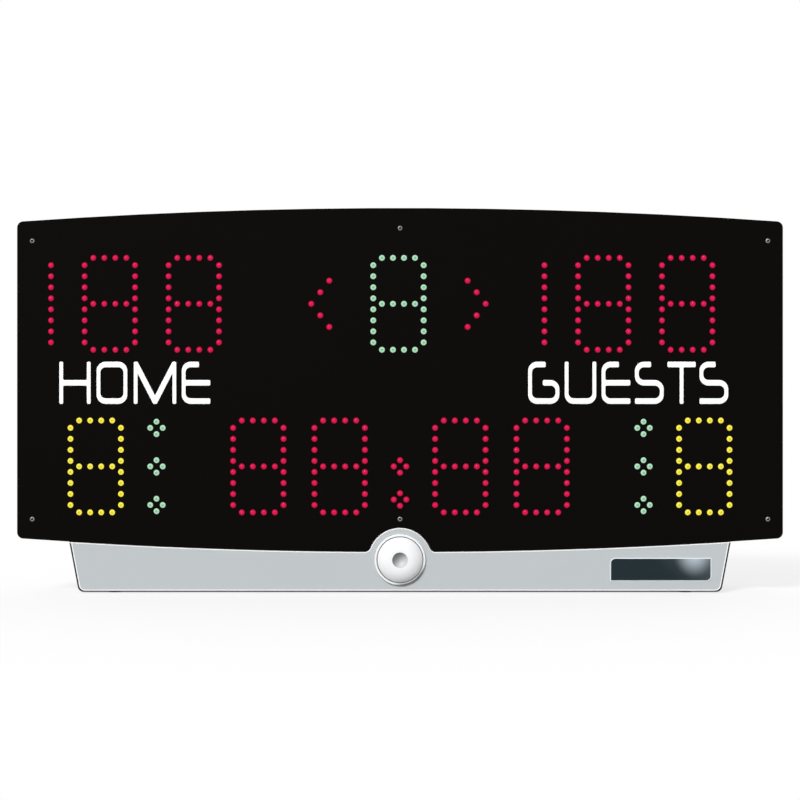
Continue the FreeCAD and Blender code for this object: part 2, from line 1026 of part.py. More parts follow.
bolt_reach = base_half - s.bolt_side_inset
bolt_places = [side * reach for side in (-1, 1) for reach in (bolt_reach, s.bolt_inner_reach)]
battery_lead_place = s.door_place - s.battery_lead_shift


def upright_drills(label, radius, places, depth):
    """Upright drills through the floor of the case and the roof of the base."""
    item = doc.addObject("Part::Feature", label)
    length = 2 * (s.sheet_thick + s.overrun) + s.bolt_seat_gap
    item.Shape = Part.makeCompound(
        [
            Part.makeCylinder(
                float(radius),
                float(length),
                V(float(across), float(depth), float(arch_low(across, s.case_inset) - length / 2)),
            )
            for across in places
        ]
    )
    return item


def floor_holes(label):
    """Holes for the joining bolts and for the battery lead."""
    bolt_bore = s.bolt_radius + s.screw_clearance
    lead_depth = s.battery_lead_depth
    return [
        upright_drills(f"{label}_bolts", bolt_bore, bolt_places, s.bolt_depth),
        upright_drills(f"{label}_lead", s.cable_hole_radius, [battery_lead_place], lead_depth),
    ]


case_holes = [
    drills(
        "case_screw_holes",
        s.screw_radius + s.screw_clearance,
        panel_screw_places,
        case_front - s.overrun,
        nut_depth + s.overrun,
    ),
    drills(
        "case_rear_screw_holes",
        s.screw_radius + s.screw_clearance,
        rear_screw_places,
        case_back - s.sheet_thick - s.overrun,
        case_back + s.overrun,
    ),
    drills(
        "case_handle_holes",
        s.handle_screw_radius + s.screw_clearance,
        handle_screw_places,
        case_back - s.sheet_thick - s.overrun,
        case_back + s.overrun,
    ),
    *floor_holes("case_floor_holes"),
]
node(cut("case_frame", case_blank, case_holes))

# Lamp boards, their spacers and screws

spacer_rise = s.led_pitch * s.spacer_rise_share
spacer_places = []
for name, (left_lamp, right_lamp, row) in BOARDS.items():
    left = left_lamp - s.board_side_margin
    right = right_lamp + s.board_side_margin
    board_places = [
        (across, row + side * spacer_rise)
        for across in (left + s.spacer_inset, right - s.spacer_inset)
        for side in (-1, 1)
    ]
    end = digit_end + s.board_end_margin
    plate = block(f"{name}_blank", left, right, board_front, board_back, row - end, row + end)
    holes = drills(
        f"{name}_holes",
        s.board_screw_radius + s.screw_clearance,
        board_places,
        board_front - s.overrun,
        board_back + s.overrun,
    )
    node(cut(name, plate, [holes]))
    spacer_places += board_places

# Rear cover with its connectors, inserts and handle

mount_places = [
    (side * s.mount_width / 2, s.mount_rise + level * s.mount_height / 2)
    for side in (-1, 1)
    for level in (-1, 1)
]
connector_up = s.connector_rise
inlet_place = panel_side - s.inlet_side_inset
switch_place = inlet_place - s.switch_step
fuse_place = switch_place - s.fuse_step
data_place = fuse_place - s.data_step
small_screw_places = [
    (place + side * spread, connector_up)
    for place, spread in ((inlet_place, s.inlet_screw_spread), (data_place, s.data_screw_spread))
    for side in (-1, 1)
]

cover_blank = new_body("rear_cover_blank")
cover_sketch = new_sketch(cover_blank, "XZ_Plane", case_back)
draw(cover_sketch, panel_outline(s.case_inset))
pad(cover_sketch, s.sheet_thick)
cover_front = case_back - s.overrun
cover_end = cover_back + s.overrun
clearance = 2 * s.cutout_clearance
cover_holes = [
    drills(
        "cover_screw_holes",
        s.screw_radius + s.screw_clearance,
        rear_screw_places,
        cover_front,
        cover_end,
    ),
    drills(
        "cover_handle_holes",
        s.handle_screw_radius + s.screw_clearance,
        handle_screw_places,
        cover_front,
        cover_end,
    ),
    drills(
        "cover_insert_holes",
        s.insert_radius + s.screw_clearance,
        mount_places,
        cover_front,
        cover_end,
    ),
    drills(
        "cover_small_holes",
        s.small_screw_radius + s.screw_clearance,
        small_screw_places,
        cover_front,
        cover_end,
    ),
    rod(
        "fuse_cutout",
        fuse_place,
        connector_up,
        s.fuse_body_radius + s.cutout_clearance,
        cover_front,
        cover_end,
    ),
    block_at(
        "inlet_cutout",
        inlet_place,
        connector_up,
        s.inlet_width + clearance,
        s.inlet_height + clearance,
        cover_front,
        cover_end,
    ),
    block_at(
        "switch_cutout",
        switch_place,
        connector_up,
        s.switch_width + clearance,
        s.switch_height + clearance,
        cover_front,
        cover_end,
    ),
    block_at(
        "data_cutout",
        data_place,
        connector_up,
        s.data_width + clearance,
        s.data_height + clearance,
        cover_front,
        cover_end,
    ),
]
node(cut("rear_cover", cover_blank, cover_holes))
node(copies("rear_screws", rear_facing_screw, at_depth(rear_screw_places, cover_back)))
node(copies("board_spacers", board_spacer, at_depth(spacer_places, s.panel_thick)))
node(copies("board_screws", rear_facing_board_screw, at_depth(spacer_places, board_back)))

# Threaded inserts for a wall bracket

insert = new_body("insert")
insert_front = s.insert_flange - s.insert_length
turn(
    insert,
    [
        (insert_front, s.mount_hole_radius),
        (insert_front, s.insert_radius),
        (0, s.insert_radius),
        (0, s.insert_flange_radius),
        (s.insert_flange, s.insert_flange_radius),
        (s.insert_flange, s.mount_hole_radius),
    ],
)
doc.recompute()
node(copies("mount_inserts", insert, at_depth(mount_places, cover_back)))

# Carry handle: brackets, bail and grip

bracket_back = cover_back + s.bracket_thick
right_bracket = new_body("right_bracket")
bracket_sketch = new_sketch(right_bracket, "XZ_Plane", cover_back)
bracket_left = ear_outer - s.ear_thick
draw_rectangle(
    bracket_sketch,
    bracket_left,
    bracket_left + s.bracket_width,
    pivot_up - s.bracket_height / 2,
    pivot_up + s.bracket_height / 2,
)
pad(bracket_sketch, s.bracket_thick)
ear_sketch = new_sketch(right_bracket, "YZ_Plane", bracket_left)
draw(
    ear_sketch,
    [
        (cover_back, pivot_up - s.ear_radius),
        (pivot_depth, pivot_up - s.ear_radius, (pivot_depth, pivot_up)),
        (pivot_depth + s.ear_radius, pivot_up, (pivot_depth, pivot_up)),
        (pivot_depth, pivot_up + s.ear_radius),
        (cover_back, pivot_up + s.ear_radius),
    ],
)
pad(ear_sketch, s.ear_thick)
ear_hole = new_sketch(right_bracket, "YZ_Plane", bracket_left - s.overrun)
draw_circle(ear_hole, pivot_depth, pivot_up, s.handle_rod_radius + s.handle_play)
pocket(ear_hole, s.ear_thick + 2 * s.overrun)
bracket_drills = drills(
    "bracket_screw_holes",
    s.handle_screw_radius + s.screw_clearance,
    [place for place in handle_screw_places if float(place[0]) > 0],
    cover_back - s.overrun,
    bracket_back + s.overrun,
)
right_bracket_drilled = cut("right_bracket_drilled", right_bracket, [bracket_drills])
left_bracket_drilled = doc.addObject("Part::Mirroring", "left_bracket_drilled")
left_bracket_drilled.Source = right_bracket_drilled
left_bracket_drilled.Normal = V(1, 0, 0)
node(together("handle_brackets", [right_bracket_drilled, left_bracket_drilled]))
node(copies("handle_screws", rear_facing_handle_screw, at_depth(handle_screw_places, bracket_back)))

handle_bail = new_body("handle_bail")
spine = new_sketch(handle_bail, "XZ_Plane", pivot_depth)
stub_end = s.handle_half - s.handle_stub
bend_up = pivot_up - s.handle_bend
bend_across = s.handle_half - s.handle_bend
grip_up = pivot_up - s.handle_length
corner_up = grip_up + s.handle_corner
corner_across = s.handle_half - s.handle_corner
draw(
    spine,
    [
        (-stub_end, pivot_up),
        (-bend_across, pivot_up, (-bend_across, bend_up)),
        (-s.handle_half, bend_up),
        (-s.handle_half, corner_up, (-corner_across, corner_up)),
        (-corner_across, grip_up),
        (corner_across, grip_up, (corner_across, corner_up)),
        (s.handle_half, corner_up),
        (s.handle_half, bend_up, (bend_across, bend_up)),
        (bend_across, pivot_up),
        (stub_end, pivot_up),
    ],
    closed=False,
)
rod_section = new_sketch(handle_bail, "YZ_Plane", -stub_end)
draw_circle(rod_section, pivot_depth, pivot_up, s.handle_rod_radius)
bail_pipe = handle_bail.newObject("PartDesign::AdditivePipe", "bail_pipe")
bail_pipe.Profile = rod_section
bail_pipe.Spine = spine
node(handle_bail)

grip_blank = new_body("handle_grip_blank")
grip_end = s.grip_length / 2
grip_bore = s.handle_rod_radius + s.handle_play
round_across = grip_end - s.grip_round
round_up = s.grip_radius - s.grip_round
turn(
    grip_blank,
    [
        (-grip_end, grip_bore),
        (grip_end, grip_bore),
        (grip_end, round_up, (round_across, round_up)),
        (round_across, s.grip_radius),
        (-round_across, s.grip_radius, (-round_across, round_up)),
        (-grip_end, round_up),
    ],
    role="XZ_Plane",
)
bind(grip_blank, "Placement.Base.y", pivot_depth)
bind(grip_blank, "Placement.Base.z", grip_up)
node(together("handle_grip", [grip_blank]))

# Mains inlet: a flanged socket with three pins in its cavity

inlet_block = fused(
    "inlet_block",
    [
        block_at(
            "inlet_flange_block",
            inlet_place,
            connector_up,
            s.inlet_flange_width,
            s.inlet_flange_height,
            cover_back,
            cover_back + s.inlet_flange,
        ),
        block_at(
            "inlet_body_block",
            inlet_place,
            connector_up,
            s.inlet_width,
            s.inlet_height,
            cover_back - s.inlet_depth,
            cover_back + s.inlet_flange / 2,
        ),
    ],
)
inlet_cavity = block_at(
    "inlet_cavity",
    inlet_place,
    connector_up,
    s.inlet_width - 2 * s.inlet_wall,
    s.inlet_height - 2 * s.inlet_wall,
    cover_back - s.inlet_depth + s.inlet_floor,
    cover_back + s.inlet_flange + s.overrun,
)
inlet_screw_drills = drills(
    "inlet_screw_holes",
    s.small_screw_radius + s.screw_clearance,
    small_screw_places[:2],
    cover_back - s.overrun,
    cover_back + s.inlet_flange + s.overrun,
)
inlet_shell = cut("inlet_shell", inlet_block, [inlet_cavity, inlet_screw_drills])
pin_front = cover_back - s.inlet_depth + s.inlet_floor / 2
inlet_pins = [
    block_at(
        f"inlet_pin_{number}",
        inlet_place + side * s.inlet_pin_spread,
        connector_up + rise * s.inlet_pin_rise,
        s.inlet_pin_width,
        s.inlet_pin_height,
        pin_front,
        pin_front + s.inlet_floor / 2 + s.inlet_pin_length,
    )
    for number, (side, rise) in enumerate(((-1, 0), (0, 1), (1, 0)))
]
node(fused("power_inlet", [inlet_shell, *inlet_pins]))

# Rocker switch

switch_back = cover_back + s.switch_flange
switch_block = fused(
    "switch_block",
    [
        block_at(
            "switch_flange_block",
            switch_place,
            connector_up,
            s.switch_width + 2 * s.switch_rim,
            s.switch_height + 2 * s.switch_rim,
            cover_back,
            switch_back,
        ),
        block_at(
            "switch_body_block",
            switch_place,
            connector_up,
            s.switch_width,
            s.switch_height,
            cover_back - s.switch_depth,
            cover_back + s.switch_flange / 2,
        ),
    ],
)
rocker_opening = block_at(
    "rocker_opening",
    switch_place,
    connector_up,
    s.rocker_width + 2 * s.rocker_play,
    2 * (s.rocker_half_height + s.rocker_swing_room),
    cover_back - s.switch_depth + s.switch_floor,
    switch_back + s.overrun,
)
rocker_axis_depth = cover_back - s.rocker_hub / 2
rocker_hole = cross_rod(
    "rocker_hole",
    switch_place - s.rocker_pin_length / 2 - s.rocker_play / 2,
    switch_place + s.rocker_pin_length / 2 + s.rocker_play / 2,
    rocker_axis_depth,
    connector_up,
    s.rocker_pin_radius + s.hinge_play,
)
node(cut("switch_frame", switch_block, [rocker_opening, rocker_hole]))

rocker_body = new_body("rocker_body")
rocker_sketch = new_sketch(rocker_body, "YZ_Plane", -s.rocker_width / 2)
rocker_edge = s.rocker_face + s.rocker_half_height * tangent(s.rocker_tilt)
rocker_waist = s.rocker_half_height / 2
draw(
    rocker_sketch,
    [
        (s.rocker_face, 0),
        (rocker_edge, s.rocker_half_height),
        (0, s.rocker_half_height),
        (-s.rocker_hub, rocker_waist),
        (-s.rocker_hub, -rocker_waist),
        (0, -s.rocker_half_height),
        (rocker_edge, -s.rocker_half_height),
    ],
)
pad(rocker_sketch, s.rocker_width)
rocker_pin_sketch = new_sketch(rocker_body, "YZ_Plane", -s.rocker_pin_length / 2)
draw_circle(rocker_pin_sketch, 0, 0, s.rocker_pin_radius)
pad(rocker_pin_sketch, s.rocker_pin_length)
rocker_body.Placement.Rotation = FreeCAD.Rotation(V(1, 0, 0), -float(s.rocker_tilt))
for name, place in zip("xyz", (switch_place, rocker_axis_depth, connector_up)):
    bind(rocker_body, f"Placement.Base.{name}", place)
node(together("power_rocker", [rocker_body]))

# Fuse holder and its bayonet cap

fuse_back = cover_back + s.fuse_flange
fuse_front = cover_back - s.fuse_body_depth
holder_blank = new_body("fuse_holder_blank")
turn(
    holder_blank,
    [
        (fuse_front, 0),
        (fuse_front, s.fuse_body_radius),
        (cover_back, s.fuse_body_radius),
        (cover_back, s.fuse_flange_radius),
        (fuse_back, s.fuse_flange_radius),
        (fuse_back, s.fuse_bore_radius),
        (fuse_front + s.fuse_floor, s.fuse_bore_radius),
        (fuse_front + s.fuse_floor, 0),
    ],
)
cap_blank = new_body("fuse_cap_blank")
cap_front = fuse_back + s.fuse_cap_gap
cap_back = cap_front + s.fuse_cap_height
cap_shank = s.fuse_bore_radius - s.fuse_play
turn(
    cap_blank,
    [
        (cap_front - s.fuse_cap_shank, 0),
        (cap_front - s.fuse_cap_shank, cap_shank),
        (cap_front, cap_shank),
        (cap_front, s.fuse_cap_radius),
        (cap_back, s.fuse_cap_radius),
        (cap_back, 0),
    ],
)
for item in (holder_blank, cap_blank):
    bind(item, "Placement.Base.x", fuse_place)
    bind(item, "Placement.Base.z", connector_up)
node(together("fuse_holder", [holder_blank]))
cap_slot = block_at(
    "fuse_cap_slot",
    fuse_place,
    connector_up,
    2 * (s.fuse_cap_radius + s.overrun),
    s.fuse_slot_width,
    cap_back - s.fuse_slot_depth,
    cap_back + s.overrun,
)
node(cut("fuse_cap", cap_blank, [cap_slot]))

# Data socket

data_body = fused(
    "data_body",
    [
        block_at(
            "data_flange_block",
            data_place,
            connector_up,
            s.data_flange_width,
            s.data_flange_height,
            cover_back,
            cover_back + s.data_flange,
        ),
        block_at(
            "data_shell_block",
            data_place,
            connector_up,
            s.data_width,
            s.data_height,
            cover_back - s.data_depth,
            cover_back + s.data_flange + s.data_reach,
        ),
    ],
)
data_screw_drills = drills(
    "data_screw_holes",
    s.small_screw_radius + s.screw_clearance,
    small_screw_places[2:],
    cover_back - s.overrun,
    cover_back + s.data_flange + s.overrun,
)
node(cut("data_socket", data_body, [data_screw_drills]))
small_screw_depths = (s.inlet_flange, s.inlet_flange, s.data_flange, s.data_flange)
node(
    copies(
        "connector_screws",
        rear_facing_small_screw,
        [
            (across, cover_back + flange, up)
            for (across, up), flange in zip(small_screw_places, small_screw_depths)
        ],
    )
)

# Electronics in the case

supply_place = s.supply_side_inset - panel_side
node(
    together(
        "power_supply",
        [
            block_at(
                "supply_block",
                supply_place,
                s.supply_rise,
                s.supply_width,
                s.supply_height,
                case_back - s.supply_depth,
                case_back,
            )
        ],
    )
)
controller_back = case_back - s.controller_standoff
controller_front = controller_back - s.board_thick
controller_places = [
    (
        side * (s.controller_width / 2 - s.controller_inset),
        upper_row + level * (s.controller_height / 2 - s.controller_inset),
    )
    for side in (-1, 1)
    for level in (-1, 1)
]
controller_blank = block_at(
    "controller_blank",
    0,
    upper_row,
    s.controller_width,
    s.controller_height,
    controller_front,
    controller_back,
)
controller_drills = drills(
    "controller_holes",
    s.board_screw_radius,
    controller_places,
    controller_front - s.overrun,
    controller_back + s.overrun,
)
node(cut("controller_board", controller_blank, [controller_drills]))
controller_post = new_body("controller_post")
turn(
    controller_post,
    [
        (-s.board_thick - s.board_screw_head_height, 0),
        (-s.board_thick - s.board_screw_head_height, s.board_screw_head_radius),
        (-s.board_thick, s.board_screw_head_radius),
        (-s.board_thick, s.board_screw_radius - s.hinge_play),
        (0, s.board_screw_radius - s.hinge_play),
        (0, s.spacer_radius),
        (s.controller_standoff, s.spacer_radius),
        (s.controller_standoff, 0),
    ],
)
doc.recompute()
node(copies("controller_posts", controller_post, at_depth(controller_places, controller_back)))

# Wiring: one cable from the controller to each lamp board, and two leads that feed it


def cable(places):
    """A round cable along straight runs that are joined by tangent arcs."""
    points = [V(*(float(value) for value in place)) for place in places]
    bend = float(s.cable_bend)
    edges = []
    start = points[0]
    for before, corner, after in zip(points, points[1:], points[2:]):
        back = (before - corner).normalize()
        ahead = (after - corner).normalize()
        half = back.getAngle(ahead) / 2
        reach = bend / math.tan(half)
        inside = (back + ahead).normalize()
        middle = corner + inside * (bend / math.sin(half) - bend)
        edges.append(Part.makeLine(start, corner + back * reach))
        edges.append(Part.Arc(corner + back * reach, middle, corner + ahead * reach).toShape())
        start = corner + ahead * reach
    edges.append(Part.makeLine(start, points[-1]))
    section = Part.makeCircle(float(s.cable_radius), points[0], points[1] - points[0])
    return Part.Wire(edges).makePipeShell([Part.Wire(section)], True, False)


cable_start = controller_front - s.cable_gap
cable_end = board_back + s.cable_gap
run = s.cable_run_depth
cables = []
for number, (left_lamp, right_lamp, row) in enumerate(BOARDS.values()):
    across = s.cable_spread * (number % 3 - 1)
    level = 1 if number < 3 else -1
    up = upper_row + level * s.cable_row_rise
    middle = (left_lamp + right_lamp) / 2 if number % 3 != 1 else across
    cables.append(
        cable(
            [
                (across, cable_start, up),
                (across, run, up),
                (middle, run, row),
                (middle, cable_end, row),
            ]
        )
    )
lead_up = upper_row - s.lead_row_drop
lead_across = battery_lead_place
lead_depth = s.battery_lead_depth
cables.append(
    cable(
        [
            (lead_across, back_front - s.battery_gap - s.battery_depth - s.cable_gap, s.battery_lead_rise),
            (lead_across, lead_depth, s.battery_lead_rise),
            (lead_across, lead_depth, lead_up),
            (s.lead_spread, lead_depth, lead_up),
            (s.lead_spread, cable_start, lead_up),
        ]
    )
)
supply_side = supply_place + s.supply_width / 2 + s.cable_gap
supply_lead_across = supply_side + s.supply_lead_run
supply_lead_up = s.supply_rise + s.supply_lead_rise
cables.append(
    cable(
        [
            (supply_side, s.supply_lead_depth, supply_lead_up),
            (supply_lead_across, s.supply_lead_depth, supply_lead_up),
            (supply_lead_across, s.supply_lead_depth, lead_up),
            (-s.lead_spread, s.supply_lead_depth, lead_up),
            (-s.lead_spread, cable_start, lead_up),
        ]
    )
)
wiring = doc.addObject("Part::Feature", "wiring")
wiring.Shape = Part.makeCompound(cables)
node(wiring)

# Base shell: a stepped fascia under the panel's edge, a box behind it and the horn's saddle

base_shell_body = new_body("base_shell_blank")
fascia_depth = box_front + s.sheet_thick
fascia = new_sketch(base_shell_body, "XZ_Plane")
draw(fascia, base_outline(as_size(0), -s.joint_gap, True))
bevel_front(pad(fascia, fascia_depth), s.panel_thick / 2, s.base_bevel)
box = new_sketch(base_shell_body, "XZ_Plane", box_front)
draw(box, base_outline(as_size(0), box_rise, False))
pad(box, s.base_depth - box_front)
saddle = new_sketch(base_shell_body, "XZ_Plane", box_front)
draw(saddle, base_outline(as_size(0), box_rise, True))
pad(saddle, cover_back - box_front)
saddle_room = new_sketch(base_shell_body, "XZ_Plane", fascia_depth)
draw(saddle_room, base_outline(s.sheet_thick, box_rise - s.sheet_thick, True))
pocket(saddle_room, cover_back - fascia_depth - s.sheet_thick)
box_room = new_sketch(base_shell_body, "XZ_Plane", cover_back - s.sheet_thick)
draw(box_room, base_outline(s.sheet_thick, box_rise - s.sheet_thick, False))
pocket(box_room, s.base_depth - cover_back + s.sheet_thick + s.overrun)
fascia_room = new_sketch(base_shell_body, "XZ_Plane", s.sheet_thick)
draw(fascia_room, base_outline(s.sheet_thick, -s.joint_gap - s.sheet_thick, True))
pocket(fascia_room, fascia_depth - s.sheet_thick + s.overrun)

# Lugs in the shell that hold the rear plate
lug_front = back_front - s.lug_depth
lug_floor = s.foot_height + s.sheet_thick / 2
lug_places = []
lug_reach = base_half - s.lug_side_inset
for across in (-lug_reach, -s.lug_inner_reach, s.lug_inner_reach, lug_reach):
    lug = new_sketch(base_shell_body, "XZ_Plane", lug_front)
    draw_rectangle(
        lug,
        across - s.lug_width / 2,
        across + s.lug_width / 2,
        lug_floor,
        lug_floor + s.lug_height,
    )
    pad(lug, s.lug_depth)
    lug_places.append((across, lug_floor + (s.lug_height + s.sheet_thick / 2) / 2))
upper_side = base_side_top(s.sheet_thick / 2, box_rise - s.sheet_thick / 2)
upper_lug_high = upper_side[1] - s.lug_upper_drop
upper_lug_low = upper_lug_high - s.lug_height
base_slope = tangent(s.side_angle)
lug_outer = upper_side[0] - (upper_side[1] - upper_lug_low) * base_slope
for side in (-1, 1):
    lug = new_sketch(base_shell_body, "XZ_Plane", lug_front)
    ends = (side * lug_outer, side * (lug_outer - s.lug_width))
    draw_rectangle(lug, *sorted(ends, key=float), upper_lug_low, upper_lug_high)
    pad(lug, s.lug_depth)
    lug_places.append((side * (lug_outer - s.lug_width / 2), (upper_lug_low + upper_lug_high) / 2))

sleeve_radius = s.bezel_radius - s.bezel_lip + s.sleeve_wall
shell_holes = [
    rod(
        "horn_hole",
        0,
        s.horn_rise,
        sleeve_radius + s.sleeve_clearance,
        -s.overrun,
        fascia_depth + s.overrun,
    ),
    drills(
        "lug_holes",
        s.screw_radius + s.screw_clearance,
        lug_places,
        lug_front - s.overrun,
        back_front + s.overrun,
    ),
    *floor_holes("base_roof_holes"),
]
node(cut("base_shell", base_shell_body, shell_holes))

# Bolts with their nuts in the case, and rubber feet

bolt = new_body("bolt_profile")
bolt_length = 2 * s.sheet_thick + s.bolt_nut_height + 2 * s.bolt_seat_gap
turn(
    bolt,
    [
        (0, 0),
        (0, s.bolt_head_radius),
        (s.bolt_head_height, s.bolt_head_radius),
        (s.bolt_head_height, s.bolt_radius),
        (s.bolt_head_height + bolt_length, s.bolt_radius),
        (s.bolt_head_height + bolt_length, 0),
    ],
    role="XZ_Plane",
)
bolt_nut = new_body("bolt_nut_profile")
turn(
    bolt_nut,
    [
        (0, s.bolt_radius + s.screw_clearance),
        (0, s.bolt_nut_radius),
        (s.bolt_nut_height, s.bolt_nut_radius),
        (s.bolt_nut_height, s.bolt_radius + s.screw_clearance),
    ],
    role="XZ_Plane",
)
foot = new_body("foot_profile")
turn(
    foot,
    [(0, 0), (0, s.foot_radius), (s.foot_height, s.foot_radius), (s.foot_height, 0)],
    role="XZ_Plane",
)
doc.recompute()


def stood_up(label, master):
    """A piece turned about the X axis, set upright."""
    item = doc.addObject("Part::Feature", label)
    shape = master.Shape.copy()
    shape.rotate(V(0, 0, 0), V(0, 1, 0), -90)
    item.Shape = shape
    return item


upright_bolt = stood_up("upright_bolt", bolt)
upright_nut = stood_up("upright_nut", bolt_nut)
upright_foot = stood_up("upright_foot", foot)
roof_drop = s.case_inset - box_rise + s.sheet_thick
bolt_heads = [
    (
        across,
        s.bolt_depth,
        arch_low(across, s.case_inset) - roof_drop - s.bolt_seat_gap - s.bolt_head_height,
    )
    for across in bolt_places
]
bolt_nuts = [
    (across, s.bolt_depth, arch_low(across, s.case_inset) + s.sheet_thick + s.bolt_seat_gap)
    for across in bolt_places
]
node(copies("base_bolts", upright_bolt, bolt_heads))
node(copies("base_nuts", upright_nut, bolt_nuts))
foot_across = base_corner_across - s.foot_side_inset
node(
    copies(
        "base_feet",
        upright_foot,
        [
            (side * foot_across, depth, 0)
            for side in (-1, 1)
            for depth in (s.foot_end_inset, s.base_depth - s.foot_end_inset)
        ],
    )
)

# Rear plate of the base, with the battery door's opening and its half of the hinge

back_end = back_front + s.sheet_thick
door_left = s.door_place - s.door_width / 2
door_right = door_left + s.door_width
door_low = s.foot_height + s.door_rise
door_high = door_low + s.door_height
hinge_depth = back_end + s.hinge_gap + s.hinge_radius
hinge_up = door_high + s.door_axis_rise

back_blank = new_body("base_back_blank")
back_sketch = new_sketch(back_blank, "XZ_Plane", back_front)
plate_inset = s.sheet_thick + s.seat_gap
draw(back_sketch, base_outline(plate_inset, box_rise - plate_inset, False))
pad(back_sketch, s.sheet_thick)
door_opening = new_sketch(back_blank, "XZ_Plane", back_front - s.overrun)
draw_rectangle(
    door_opening,
    door_left - s.door_clearance,
    door_right + s.door_clearance,
    door_low - s.door_clearance,
    door_high + s.door_clearance,
)
pocket(door_opening, s.sheet_thick + 2 * s.overrun)


def barrel(label, left, right):
    return cross_rod(label, left, right, hinge_depth, hinge_up, s.hinge_radius)


def web(label, left, right, front, low, high):
    """The metal between a hinge barrel and its leaf."""
    return block(label, left, right, front, hinge_depth, low, high)


def knuckle_span(side, number):
    """Ends of one of the three barrels at either end of the door, the middle one on the door."""
    pitch = s.knuckle_length + s.hinge_gap
    outer = s.door_place + side * (s.door_width / 2 - s.hinge_web)
    near = outer - side * pitch * number
    return sorted((near, near - side * s.knuckle_length), key=float)


back_parts = [back_blank]
door_parts = []
web_root = back_end - s.sheet_thick / 2
web_foot = door_high - s.hinge_web
for side, side_name in ((-1, "left"), (1, "right")):
    for number in (0, 2):
        left, right = knuckle_span(side, number)
        name = f"back_{side_name}_{number}"
        back_parts.append(barrel(f"{name}_barrel", left, right))
        back_parts.append(web(f"{name}_web", left, right, web_root, hinge_up, hinge_up + s.hinge_web))
    left, right = knuckle_span(side, 1)
    name = f"door_{side_name}"
    door_parts.append(barrel(f"{name}_barrel", left, right))
    door_parts.append(web(f"{name}_web", left, right, back_end + s.hinge_gap, web_foot, hinge_up))
    door_parts.append(web(f"{name}_web_foot", left, right, web_root, web_foot, door_high))


def pin_bore(label, play):
    return cross_rod(
        label,
        door_left - s.overrun,
        door_right + s.overrun,
        hinge_depth,
        hinge_up,
        s.hinge_pin_radius + play,
    )


back_holes = [
    pin_bore("back_pin_bore", s.hinge_play),
    drills(
        "back_screw_holes",
        s.screw_radius + s.screw_clearance,
        lug_places,
        back_front - s.overrun,
        back_end + s.overrun,
    ),
]
node(cut("base_back", fused("base_back_fused", back_parts), back_holes))
node(copies("back_screws", rear_facing_screw, at_depth(lug_places, back_end)))


def pin_between(side, side_name):
    """A pin through the three barrels at one end of the door."""
    ends = sorted(knuckle_span(side, 0) + knuckle_span(side, 2), key=float)
    return cross_rod(
        f"door_pin_{side_name}", ends[0], ends[-1], hinge_depth, hinge_up, s.hinge_pin_radius
    )


node(together("door_pins", [pin_between(-1, "left"), pin_between(1, "right")]))

door_blank = block("door_blank", door_left, door_right, back_front, back_end, door_low, door_high)
door_pull = block_at(
    "door_pull",
    s.door_place,
    door_low + s.door_pull_thick / 2 + s.door_rise / 2,
    s.door_pull_width,
    s.door_pull_thick,
    back_front + s.sheet_thick / 2,
    back_end + s.door_pull_reach,
)
node(
    cut(
        "battery_door",
        fused("battery_door_fused", [door_blank, door_pull, *door_parts]),
        [pin_bore("door_pin_bore", s.hinge_play)],
    )
)
battery_back = back_front - s.battery_gap
node(
    together(
        "battery_pack",
        [
            block_at(
                "battery_block",
                s.door_place,
                s.foot_height + s.sheet_thick + s.battery_height / 2,
                s.battery_width,
                s.battery_height,
                battery_back - s.battery_depth,
                battery_back,
            )
        ],
    )
)

# Horn: bezel, gasket, ring nut, domed cover and driver, all turned about the horn's axis

bezel_back = -s.gasket_thick
bezel_front = bezel_back - s.bezel_thick
lip_radius = s.bezel_radius - s.bezel_lip
shelf_front = s.cover_seat
shelf_back = shelf_front + s.shelf_thick
round_front = bezel_front + s.bezel_round
round_radius = s.bezel_radius - s.bezel_round
bezel = new_body("horn_bezel_blank")
turn(
    bezel,
    [
        (bezel_front, lip_radius),
        (bezel_front, round_radius, (round_front, round_radius)),
        (round_front, s.bezel_radius),
        (bezel_back, s.bezel_radius),
        (bezel_back, sleeve_radius),
        (s.sleeve_length, sleeve_radius),
        (s.sleeve_length, lip_radius),
        (shelf_back, lip_radius),
        (shelf_back, lip_radius - s.shelf_width),
        (shelf_front, lip_radius - s.shelf_width),
        (shelf_front, lip_radius),
    ],
)
gasket = new_body("horn_gasket_blank")
gasket_bore = sleeve_radius + s.sleeve_clearance
turn(
    gasket,
    [(bezel_back, gasket_bore), (bezel_back, s.bezel_radius), (0, s.bezel_radius), (0, gasket_bore)],
)
nut_end = s.sheet_thick + s.ring_nut_height
horn_nut = new_body("horn_ring_nut_blank")
turn(
    horn_nut,
    [
        (s.sheet_thick, gasket_bore),
        (s.sheet_thick, gasket_bore + s.ring_nut_width),
        (nut_end, gasket_bore + s.ring_nut_width),
        (nut_end, gasket_bore),
    ],
)

